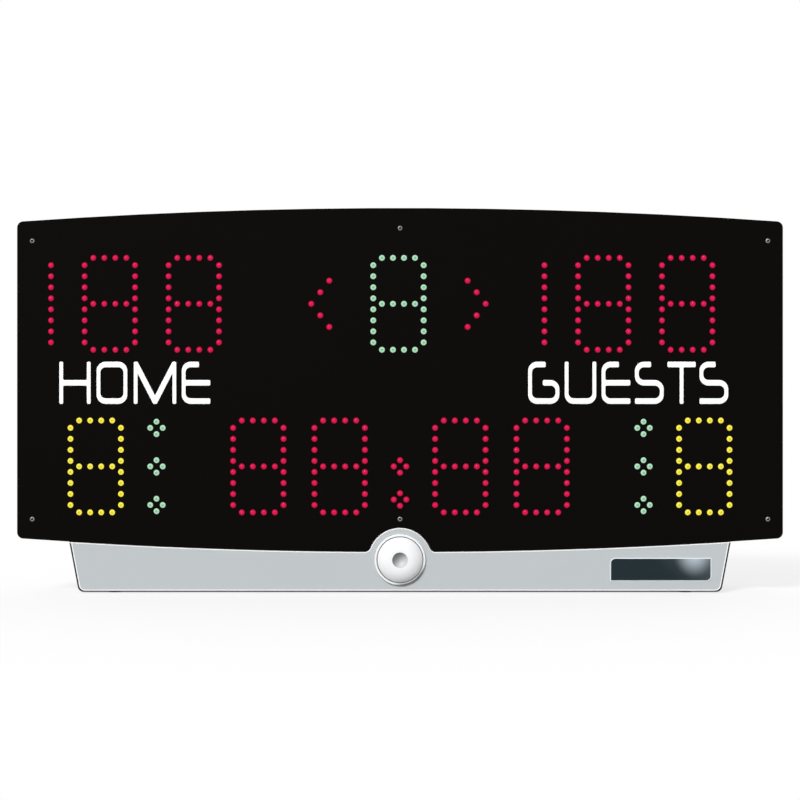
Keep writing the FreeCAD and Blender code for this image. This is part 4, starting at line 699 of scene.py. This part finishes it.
def screw(head_radius, head_height, shank_radius, length, recess):
    """A domed screw with its head towards -Y, seated at zero, and a cross or a hexagon in its head."""
    sphere = (head_radius**2 + head_height**2) / (2 * head_height)
    arc = stages(math.asin(head_radius / sphere), HEAD_ARC_STEPS)
    dome = [(sphere - head_height - sphere * math.cos(turn), sphere * math.sin(turn)) for turn in arc]
    shank = [(0.0, shank_radius), (length, shank_radius), (length, 0.0)]
    body = turned_mesh(dome + shank)
    if recess == "hexagon":
        radius, depth = HEXAGON_RADIUS * head_radius, HEXAGON_DEPTH * head_height
        bar = [(-depth, 0.0), (-depth, radius), (depth, radius), (depth, 0.0)]
        cutter = turned_mesh(bar, segments=6)
    else:
        cutter = cross_cutter(head_radius, head_height)
    cutter.transform(at(0, -head_height, 0))
    return carved(body, cutter)


# %% Screws in their places
FIRST_TWIST, TWIST_STEP = 17, 37
FACE_REAR = Matrix.Rotation(math.pi, 4, "Z")


def screws(node, head_height, shank_radius, finish=screw_steel, faces_rear=True, recess="cross"):
    """Put a detailed screw where each plain one of a node is, each at an angle of its own."""
    boxes = solids(node)
    low, _, high = boxes[0]
    head_radius = (high.x - low.x) / 2
    master = screw(head_radius, head_height, shank_radius, high.y - low.y - head_height, recess)
    half_turn = FACE_REAR if faces_rear else Matrix.Identity(4)
    parts = []
    for number, (low, middle, high) in enumerate(boxes):
        seat = high.y - head_height if faces_rear else low.y + head_height
        twist = Matrix.Rotation(math.radians(FIRST_TWIST + TWIST_STEP * number), 4, "Y")
        parts.append((master, at(middle.x, seat, middle.z) @ half_turn @ twist))
    piece(node.replace("screws", "screw_heads"), gather(parts), finish, replaced=[node])


PANEL_HEAD, SMALL_HEAD, HANDLE_HEAD = 1.8 * MM, 1.6 * MM, 2.2 * MM
RECESS_SHARE = 0.3
# Painted shade: on the panel screws, the floor of the hexagon recess and the outer edge of the head, close to
# the panel, are painted near black.
_, depth, _ = screw_dark.axes()
painted_recess_shade = depth > panel_low.y - RECESS_SHARE * PANEL_HEAD
screw_dark.set("base color", screw_dark.blend(painted_recess_shade, screw_dark.colour, (30, 30, 30)))
screws("panel_screws", PANEL_HEAD, 2.0 * MM, screw_dark, False, "hexagon")
screws("rear_screws", PANEL_HEAD, 2.0 * MM)
screws("back_screws", PANEL_HEAD, 2.0 * MM)
screws("connector_screws", SMALL_HEAD, 1.5 * MM)
screws("handle_screws", HANDLE_HEAD, 2.5 * MM)

# %% [markdown]
# ## Lamps in their places
#
# The CAD lamps are domes of a few facets, which shows from near by. Each is turned again with a finer dome
# from the same box: a flange on the board, a round body through the panel and half a ball in front. One lens
# is made for all, and every group of lamps is one piece.

# %% A finer lamp
DOME_STEPS = 7
LAMP_SEGMENTS = 28
LENS_RADIUS = 3.75 * MM
LAMP_FLANGE = 1.2 * MM
lamp_low, lamp_middle, lamp_high = solids("arrow_leds")[0]
flange_radius = lamp_high.x - lamp_middle.x
lamp_length = lamp_high.y - lamp_low.y
dome = rounding(0.0, LENS_RADIUS, LENS_RADIUS, DOME_STEPS)
flange_front = lamp_length - LAMP_FLANGE
flange = [(flange_front, LENS_RADIUS), (flange_front, flange_radius), (lamp_length, flange_radius)]
fine_lamp = turned_mesh([*dome, *flange, (lamp_length, 0.0)], LAMP_SEGMENTS)
for slot, finish, group in (
    ("lamp_red", lamp_red, red_nodes),
    ("lamp_green", lamp_green, green_nodes),
    ("lamp_yellow", lamp_yellow, yellow_nodes),
):
    for name in group:
        lamps = gather([(fine_lamp, at(middle.x, low.y, middle.z)) for low, middle, _ in solids(name)])
        piece(name.replace("leds", "lenses"), lamps, finish, replaced=[name])

# %% [markdown]
# ## The handle's bail
#
# The bail is one steel rod with four bends. The CAD mesh of a bent rod is coarse, so it is swept again with
# a finer section: the path is a line of corners, each corner becomes an arc, and a ring of points is
# carried along it. The corners are taken from the bail's own box.

# %% Arcs for corners, and a bent rod
CORNER_STEPS = 8


def corner_arc(before, here, after, radius):
    """The points of an arc that rounds one corner of an outline or a path."""
    here = Vector(here[:2])
    into = (Vector(before[:2]) - here).normalized()
    onward = (Vector(after[:2]) - here).normalized()
    half = into.angle(onward) / 2
    middle = here + (into + onward).normalized() * radius / math.sin(half)
    start = here + into * radius / math.tan(half) - middle
    sweep = start.angle_signed(here + onward * radius / math.tan(half) - middle)
    return [middle + Matrix.Rotation(turn, 2) @ start for turn in stages(-sweep, CORNER_STEPS)]


def bent_rod(path, radius, segments=32):
    """A rod along a path in the XZ plane, with flat ends."""
    work = bmesh.new()
    rings = []
    for number, place in enumerate(path):
        onward = path[min(number + 1, len(path) - 1)] - path[max(number - 1, 0)]
        side = Vector((-onward.y, onward.x)).normalized() * radius
        ring = [
            (place.x + side.x * math.cos(turn), radius * math.sin(turn), place.y + side.y * math.cos(turn))
            for turn in stages(FULL_TURN, segments)[:-1]
        ]
        rings.append([work.verts.new(corner) for corner in ring])
    work.faces.new(rings[0])
    work.faces.new(rings[-1])
    skin(work, rings)
    return work


# %% Bail
BAIL_STUB = 18.0 * MM
BAIL_BEND = 9.0 * MM
BAIL_CORNER = 14.0 * MM
bail_low, bail_middle, bail_high = box("handle_bail")
bail_radius = (bail_high.y - bail_low.y) / 2
bail_half = bail_high.x - bail_radius
bail_top = bail_high.z - bail_radius
bail_grip = bail_low.z + bail_radius
left_half = [(-bail_half + BAIL_STUB, bail_top), (-bail_half, bail_top), (-bail_half, bail_grip)]
corners = left_half + [(-across, up) for across, up in reversed(left_half)]
bends = (BAIL_BEND, BAIL_CORNER, BAIL_CORNER, BAIL_BEND)
path = [Vector(corners[0])]
for number, bend in enumerate(bends, start=1):
    path += corner_arc(corners[number - 1], corners[number], corners[number + 1], bend)
path.append(Vector(corners[-1]))
bail = bent_rod(path, bail_radius)
bail.transform(at(0, bail_middle.y, 0))
piece("handle_bail_round", bail, handle_steel, body="handle", replaced=["handle_bail"])

# %% [markdown]
# ## The grip
#
# The rubber grip on the handle has fine rings that keep wet fingers from slipping. Real rings are shape,
# not texture, so the profile itself has them: small round ribs between two plain ends.

# %% Ribbed grip
RIB_PITCH = 3.2 * MM
RIB_DEPTH = 0.7 * MM
GRIP_END = 9.0 * MM
RIB_STEPS = 8
GRIP_EDGE = 3.0 * MM
EDGE_STEPS = 6
BAIL_RADIUS = 4.08 * MM
grip_low, grip_middle, grip_high = box("handle_grip")
grip_half = (grip_high.x - grip_low.x) / 2
grip_radius = (grip_high.z - grip_low.z) / 2
left_end = rounding(-grip_half, grip_radius, GRIP_EDGE, EDGE_STEPS)
right_end = [(-place, height) for place, height in reversed(left_end)]
ribs = int((2 * grip_half - 2 * GRIP_END) / RIB_PITCH)
ribbed = []
for step in range(ribs * RIB_STEPS + 1):
    dip = 0.5 - 0.5 * math.cos(FULL_TURN * step / RIB_STEPS)
    ribbed.append((step * RIB_PITCH / RIB_STEPS - ribs * RIB_PITCH / 2, grip_radius - RIB_DEPTH * dip))
bore_left, bore_right = (-grip_half, BAIL_RADIUS), (grip_half, BAIL_RADIUS)
grip = turned_mesh([bore_left, *left_end, *ribbed, *right_end, bore_right, bore_left])
bmesh.ops.remove_doubles(grip, verts=grip.verts, dist=WELD)
grip.transform(at(*grip_middle) @ Matrix.Rotation(QUARTER_TURN, 4, "Z"))
piece("handle_grip_ribbed", grip, rubber_black, body="handle", replaced=["handle_grip"])

# %% [markdown]
# ## Feet
#
# The feet are stick-on rubber pads with a rounded rim. They are turned too, and set where the plain pads
# are, so that the rubber meets the floor at the same height.

# %% Rubber feet
FOOT_EDGE = 0.8 * MM
foot_low, foot_middle, foot_high = solids("base_feet")[0]
foot_radius = foot_high.x - foot_middle.x
foot_height = foot_high.z - foot_low.z
lower_rim = rounding(0.0, foot_radius, FOOT_EDGE, EDGE_STEPS)
foot = turned_mesh([(0.0, 0.0), *lower_rim, (foot_height, foot_radius), (foot_height, 0.0)])
foot.transform(Matrix.Rotation(QUARTER_TURN, 4, "X"))
feet = gather([(foot, at(middle.x, middle.y, low.z)) for low, middle, _ in solids("base_feet")])
piece("rubber_feet", feet, rubber_black, replaced=["base_feet"])

# %% [markdown]
# ## Flat shapes with rounded corners
#
# Letters, marks and the connector's parts are flat shapes with holes. Blender fills a closed 2D curve,
# holes included, and gives it thickness and a soft edge, so each shape is a list of corners and
# roundings. The curve is turned into a mesh, welded, and stood up to face the viewer.

# %% Rounded outlines and flat pieces
def rounded(corners, radius):
    """Round each corner of a closed outline; a corner may carry its own radius as a third number."""
    outline = []
    for number, corner in enumerate(corners):
        size = corner[2] if len(corner) > 2 else radius
        outline += corner_arc(corners[number - 1], corner, corners[(number + 1) % len(corners)], size)
    return outline


def flat(outlines, thickness, edge):
    """A flat shape in the XZ plane from its outline and its holes, with its back at y = 0."""
    curve = bpy.data.curves.new("flat", "CURVE")
    curve.dimensions = "2D"
    curve.fill_mode = "BOTH"
    curve.extrude = thickness / 2 - edge
    curve.bevel_depth = edge
    curve.offset = -edge
    curve.bevel_resolution = 1
    for outline in outlines:
        spline = curve.splines.new("POLY")
        spline.points.add(len(outline) - 1)
        for point, place in zip(spline.points, outline):
            point.co = (*place, 0, 1)
        spline.use_cyclic_u = True
    mesh = bpy.data.meshes.new_from_object(bpy.data.objects.new("flat", curve))
    work = welded(mesh)
    bpy.data.meshes.remove(mesh)
    bpy.data.curves.remove(curve)
    work.transform(at(0, -thickness / 2, 0) @ Matrix.Rotation(QUARTER_TURN, 4, "X"))
    bmesh.ops.recalc_face_normals(work, faces=work.faces)
    return work


# %% [markdown]
# ## The words that name the two sides
#
# A scoreboard has to say which score is whose, so the two generic words stand under the score digits, cut
# from white vinyl. The letters are drawn for this file from upright and level strokes, on a simple grid: a
# cap height, a width, and the thickness of the two kinds of stroke.

# %% Letters on a grid
CAP = 56.2 * MM
POST = 5.0 * MM
BAR = 7.4 * MM
BOWL = 12.0 * MM
TIP = 1.8 * MM
MIDDLE = CAP / 2
ARM_SHARE, LONG_ARM, SPUR_SHARE = 0.56, 1.08, 0.47
M_SHOULDER, M_VALLEY, M_HALF_FOOT = 0.73 * CAP, 0.2 * CAP, 0.45 * POST
M_TIP = 0.2 * TIP
VINYL, VINYL_EDGE = 0.25 * MM, 0.06 * MM


def letter(sign, width):
    """Outline and holes of one letter, its lower left corner at zero."""
    right, centre = width - POST, width / 2
    low, high, top = MIDDLE - BAR / 2, MIDDLE + BAR / 2, CAP - BAR
    stem = (width - POST) / 2
    arm, long_arm, spur = ARM_SHARE * width, LONG_ARM * (ARM_SHARE * width), SPUR_SHARE * width
    bowl = BOWL - POST
    shapes = {
        "H": [[
            (0, 0), (POST, 0), (POST, low), (right, low), (right, 0), (width, 0),
            (width, CAP), (right, CAP), (right, high), (POST, high), (POST, CAP), (0, CAP),
        ]],
        "O": [
            [(0, 0, BOWL), (width, 0, BOWL), (width, CAP, BOWL), (0, CAP, BOWL)],
            [(POST, BAR, bowl), (right, BAR, bowl), (right, top, bowl), (POST, top, bowl)],
        ],
        "M": [[
            (0, 0), (POST, 0), (POST, M_SHOULDER, M_TIP), (centre - M_HALF_FOOT, 0),
            (centre + M_HALF_FOOT, 0), (right, M_SHOULDER, M_TIP), (right, 0), (width, 0),
            (width, CAP), (right, CAP), (centre, M_VALLEY, M_TIP), (POST, CAP), (0, CAP),
        ]],
        "E": [[
            (0, 0, BOWL), (width, 0), (width, BAR), (POST, BAR, bowl), (POST, low),
            (width, low), (width, high), (POST, high), (POST, top, bowl), (long_arm, top),
            (long_arm, CAP), (0, CAP, BOWL),
        ]],
        "G": [[
            (0, 0, BOWL), (width, 0, BOWL), (width, high, BOWL), (spur, high), (spur, low),
            (right, low, bowl), (right, BAR, bowl), (POST, BAR, bowl), (POST, top, bowl),
            (arm, top), (arm, CAP), (0, CAP, BOWL),
        ]],
        "U": [[
            (0, 0, BOWL), (width, 0, BOWL), (width, CAP), (right, CAP), (right, BAR, bowl),
            (POST, BAR, bowl), (POST, CAP), (0, CAP),
        ]],
        "S": [[
            (0, 0), (width, 0, BOWL), (width, high, BOWL), (POST, high, bowl), (POST, top, bowl),
            (arm, top), (arm, CAP), (0, CAP, BOWL), (0, low, BOWL), (right, low, bowl),
            (right, BAR, bowl), (0, BAR),
        ]],
        "T": [[
            (stem, 0), (stem + POST, 0), (stem + POST, top), (width, top), (width, CAP),
            (0, CAP), (0, top), (stem, top),
        ]],
    }
    return [rounded(corners, TIP) for corners in shapes[sign]]


# %% White vinyl
vinyl_white = moulded("vinyl_white", (252, 252, 252), (246, 246, 246), 0.5, 900.0, 0.005 * MM)
vinyl_white.set("specular ior level", 0.2)
# Painted light: the white vinyl, on the words and on the rocker's marks, is given a faint white emission,
# though vinyl gives no light.
vinyl_white.set("emission color", screen(255, 255, 255))
vinyl_white.set("emission strength", 0.12)
WORD_RISE = 280.0 * MM


def word(name, *letters):
    """A word on the panel's front; each letter comes with its left and right edge in mm."""
    parts = []
    for sign, left, right in letters:
        work = flat(letter(sign, (right - left) * MM), VINYL, VINYL_EDGE)
        parts.append((work, at(left * MM, panel_low.y, WORD_RISE - MIDDLE)))
    piece(name, gather(parts), vinyl_white)


word("home_word", ("H", -453.6, -412), ("O", -404, -363.2), ("M", -354.5, -298), ("E", -290.6, -252.6))
word(
    "guests_word",
    ("G", 170.7, 212.2), ("U", 219.4, 261.3), ("E", 268.5, 306.7),
    ("S", 312.9, 351.1), ("T", 356.2, 393.8), ("S", 398.9, 437.1),
)

# %% [markdown]
# ## On and off marks
#
# The rocker carries a bar and a ring, the usual marks for on and off, on its two sloping faces. The CAD mesh
# tells where those are: the largest flat stretch that looks a given way gives a middle and a normal, and the
# mark is laid on it.

# %% Find a flat face
SAME_WAY = 0.98


def flat_face(name, towards):
    """Middle and normal of the largest flat stretch of a node that looks roughly one way."""
    groups = {}
    for polygon in nodes[name].data.polygons:
        if polygon.normal.dot(towards) > SAME_WAY:
            key = tuple(round(value, 2) for value in polygon.normal)
            groups.setdefault(key, []).append(polygon)
    largest = max(groups.values(), key=lambda group: sum(polygon.area for polygon in group))
    area = sum(polygon.area for polygon in largest)
    middle = sum((polygon.center * polygon.area for polygon in largest), Vector()) / area
    return middle, largest[0].normal.copy()


# %% Marks on the rocker
MARK_HALF, MARK_LINE = 1.8 * MM, 0.5 * MM
MARK_THICK, MARK_EDGE, BAR_ROUND = 0.2 * MM, 0.05 * MM, 0.2 * MM
BAR_SIDE_TILT, RING_SIDE_TILT = -24, 0


def rectangle(half_width, half_height, radius):
    corners = [(-1, -1), (1, -1), (1, 1), (-1, 1)]
    return rounded([(across * half_width, up * half_height) for across, up in corners], radius)


def circle(radius, steps=32):
    turns = stages(FULL_TURN, steps)[:-1]
    return [Vector((radius * math.cos(turn), radius * math.sin(turn))) for turn in turns]


bar_mark = [rectangle(MARK_LINE / 2, MARK_HALF, BAR_ROUND)]
ring_mark = [circle(MARK_HALF), circle(MARK_HALF - MARK_LINE)]
mark_parts = []
for outlines, tilt in ((bar_mark, BAR_SIDE_TILT), (ring_mark, RING_SIDE_TILT)):
    towards = Vector((0, math.cos(math.radians(tilt)), math.sin(math.radians(tilt))))
    middle, normal = flat_face("power_rocker", towards)
    place = at(*middle) @ normal.to_track_quat("-Y", "Z").to_matrix().to_4x4()
    mark_parts.append((flat(outlines, MARK_THICK, MARK_EDGE), place))
piece("rocker_marks", gather(mark_parts), vinyl_white, body="rocker")

# %% [markdown]
# ## Contacts of the mains inlet
#
# The inlet's three blades are plated metal in a black shell. In the CAD they are one solid with the shell,
# so a sleeve a hair larger than each blade gives them a finish of their own and a softened tip.

# %% Inlet blades
BLADE_SPREAD, BLADE_RISE = 7.0 * MM, 2.0 * MM
BLADE_HALF_WIDTH, BLADE_HALF_HEIGHT = 1.1 * MM, 2.1 * MM
BLADE_FLOOR, BLADE_LENGTH = 7.0 * MM, 12.1 * MM
BLADE_EDGE = 0.3 * MM
inlet_low, inlet_middle, _ = box("power_inlet")
blade = flat([rectangle(BLADE_HALF_WIDTH, BLADE_HALF_HEIGHT, BLADE_EDGE)], BLADE_LENGTH, BLADE_EDGE)
blade.transform(at(inlet_middle.x, inlet_low.y + BLADE_FLOOR, inlet_middle.z) @ FACE_REAR)
blade_steps = ((-1, 0), (0, 1), (1, 0))
blade_parts = [(blade, at(side * BLADE_SPREAD, 0, rise * BLADE_RISE)) for side, rise in blade_steps]
piece("inlet_blades", gather(blade_parts), socket_steel)

# %% [markdown]
# ## The data connector
#
# The socket for the operator's console is a nine-way shell connector: a flange with two screw holes, a
# D-shaped metal shell, and a black insert with five holes over four. All three are flat shapes, stacked.

# %% Shell connector
SHELL_HALF_WIDTH = 8.45 * MM
SHELL_HALF_HEIGHT = 4.15 * MM
SHELL_SLANT = 0.75 * MM
SHELL_WALL = 0.5 * MM
SHELL_ROUND = 2.0 * MM
INSERT_DROP = 0.6 * MM
PORT_FLANGE = 1.2 * MM
PORT_EDGE = 0.15 * MM
PORT_HOLE = 1.7 * MM
PORT_ROUND = 1.0 * MM
PORT_REACH = 30 * MM
CONTACT_PITCH = 2.77 * MM
CONTACT_ROW = 1.42 * MM
CONTACT_HOLE = 0.55 * MM
_, port_middle, port_high = box("data_socket")
near_port = [low.x for low, *_ in solids("connector_screws") if abs(low.x - port_middle.x) < PORT_REACH]
port_screw_reach = (near_port[-1] - near_port[0]) / 2


def d_shape(inset):
    """The shell's outline, wider at its top."""
    wide, narrow = SHELL_HALF_WIDTH - inset, SHELL_HALF_WIDTH - 2 * SHELL_SLANT - inset
    tall = SHELL_HALF_HEIGHT - inset
    return rounded([(-narrow, -tall), (narrow, -tall), (wide, tall), (-wide, tall)], SHELL_ROUND - inset)


def moved(outline, across, up):
    return [point + Vector((across, up)) for point in outline]


port_half = port_high - port_middle
holes = [moved(circle(PORT_HOLE), side * port_screw_reach, 0) for side in (-1, 1)]
flange = flat([rectangle(port_half.x, port_half.z, PORT_ROUND), *holes], PORT_FLANGE, PORT_EDGE)
cover_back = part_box("rear_cover")[1].y
shell_length = port_high.y - cover_back
shell = flat([d_shape(0.0), d_shape(SHELL_WALL)], shell_length, PORT_EDGE)
contacts = [
    moved(circle(CONTACT_HOLE, steps=16), (number - (count - 1) / 2) * CONTACT_PITCH, row * CONTACT_ROW)
    for count, row in ((5, 1), (4, -1))
    for number in range(count)
]
insert = flat([d_shape(SHELL_WALL + PORT_EDGE), *contacts], shell_length - INSERT_DROP, PORT_EDGE)
port_place = at(port_middle.x, cover_back, port_middle.z) @ FACE_REAR
shell_parts = [(flange, port_place), (shell, port_place)]
piece("data_port_shell", gather(shell_parts), socket_steel, replaced=["data_socket"])
piece("data_port_insert", gather([(insert, port_place)]), plastic_black)

# %% [markdown]
# ## The fuse cap
#
# A bayonet fuse cap is turned by hand or with a coin: it has flutes round its rim and a slot across its face.
# The flutes are a ripple in the radius of the turned form, and the slot is cut by a Boolean.

# %% Fluted cap
FLUTES = 20
FLUTE_DEPTH = 0.35 * MM
CAP_STEPS = 160
CAP_EDGE = 0.6 * MM
CAP_HEIGHT = 5.0 * MM
CAP_SHANK_RADIUS = 5.0 * MM
SLOT_HALF_WIDTH = 0.8 * MM
SLOT_DEPTH = 1.5 * MM
cap_low, cap_middle, cap_high = box("fuse_cap")
cap_radius = cap_high.z - cap_middle.z
cap_seat = cap_high.y - CAP_HEIGHT
cap_shank = [(cap_low.y, 0.0), (cap_low.y, CAP_SHANK_RADIUS), (cap_seat, CAP_SHANK_RADIUS)]
cap_head = [(cap_seat, cap_radius), (cap_high.y - CAP_EDGE, cap_radius), (cap_high.y, cap_radius - CAP_EDGE)]
fuse_cap = turned_mesh([*cap_shank, *cap_head, (cap_high.y, 0.0)], CAP_STEPS)
for vertex in fuse_cap.verts:
    reach = math.hypot(vertex.co.x, vertex.co.z)
    if reach > cap_radius - 0.5 * CAP_EDGE:
        turn = math.atan2(vertex.co.z, vertex.co.x)
        shrink = 1 - FLUTE_DEPTH / cap_radius * (0.5 - 0.5 * math.cos(FLUTES * turn))
        vertex.co.x *= shrink
        vertex.co.z *= shrink
slot = bmesh.new()
bmesh.ops.create_cube(slot, size=2.0)
slot.transform(Matrix.Diagonal((cap_radius * 1.2, SLOT_DEPTH, SLOT_HALF_WIDTH, 1)))
slot.transform(at(0, cap_high.y, 0))
fluted = carved(fuse_cap, slot)
fluted.transform(at(cap_middle.x, 0, cap_middle.z))
piece("fuse_cap_fluted", fluted, plastic_black, body="cap", replaced=["fuse_cap"])

# %% [markdown]
# ## Studio
#
# The photograph is a flat front view on white. A sun from the upper left shades the horn softly and lights
# the whole width evenly, the world fills the shadows, and the floor is white to the camera while it still
# takes the object's shadow. To light that bounces it is a plain grey, so that it doesn't flood the front.

# %% Floor
FLOOR_HALF = 6.0
FLOOR_DROP = 0.0002
FADE_NEAR, FADE_FAR = 0.55, 1.5
WHITE_NEAR = 0.7
floor_work = bmesh.new()
bmesh.ops.create_grid(floor_work, x_segments=1, y_segments=1, size=FLOOR_HALF)
floor = in_scene("studio_floor", as_mesh("studio_floor", floor_work))
floor.location.z = cad_box[0][2] - FLOOR_DROP
ground = Finish("studio_floor", roughness=0.9, specular_ior_level=0.1)


def seen_by_eye(tree):
    """1 for the rays that reach the camera straight, by a reflection or through clear matter."""
    rays = tree.nodes.new("ShaderNodeLightPath").outputs
    straight = Wire(rays["Is Camera Ray"])
    return straight.floor_at(Wire(rays["Is Glossy Ray"])).floor_at(Wire(rays["Is Transmission Ray"]))


seen = seen_by_eye(ground.tree)
ground.set("base color", ground.blend(seen, (170, 170, 170), (252, 252, 252)))
length = ground.node("ShaderNodeVectorMath", "Value", {0: ground.places()}, operation="LENGTH")
fade = WHITE_NEAR + (1 - WHITE_NEAR) * ground.ease(length, FADE_NEAR, FADE_FAR)
white = ground.node("ShaderNodeEmission")
inputs = {0: seen * fade, 1: Wire(ground.shader.outputs[0]), 2: white}
mixed = ground.node("ShaderNodeMixShader", 0, inputs)
feed(ground.tree.nodes["Material Output"].inputs["Surface"], mixed)
floor.data.materials.append(ground.material)

# %% World and sun
FILL, REAR_FILL = 0.5, 0.7
SUN, SUN_SPREAD = 2.3, math.radians(16)
SUN_FROM = (-0.32, -0.78, 0.56)
world = bpy.data.worlds.new("studio")
bpy.context.scene.world = world
world.use_nodes = True
sky = world.node_tree
background = sky.nodes["Background"]
background.inputs["Color"].default_value = (1, 1, 1, 1)
direct = seen_by_eye(sky)
direction = sky.nodes.new("ShaderNodeTexCoord").outputs["Generated"]
depth = sky.nodes.new("ShaderNodeSeparateXYZ")
sky.links.new(direction, depth.inputs[0])
fill = FILL + REAR_FILL * Wire(depth.outputs[1]).floor_at(0.0)
feed(background.inputs["Strength"], fill + (1 - fill) * direct)

sun = bpy.data.lights.new("sun", "SUN")
sun.energy = SUN
sun.angle = SUN_SPREAD
sun_lamp = in_scene("sun", sun)
sun_lamp.rotation_euler = Vector(SUN_FROM).to_track_quat("Z", "Y").to_euler()

# %% [markdown]
# ## Camera
#
# The photograph is 1065 mm wide at the panel's front. A long lens at the height of the frame's middle keeps
# the base's depth from showing, as in the flat picture.

# %% Camera
LENS = 100.0
SENSOR = 36.0
VIEW_WIDTH = 1065.4 * MM
VIEW_RISE = 257.1 * MM
camera = bpy.data.cameras.new("camera")
camera.lens = LENS
camera.sensor_width = SENSOR
stand = in_scene("camera", camera)
stand.location = (0, panel_low.y - VIEW_WIDTH * LENS / SENSOR, VIEW_RISE)
stand.rotation_euler = (math.pi / 2, 0, 0)
bpy.context.scene.camera = stand
bpy.context.scene.view_settings.view_transform = "Standard"
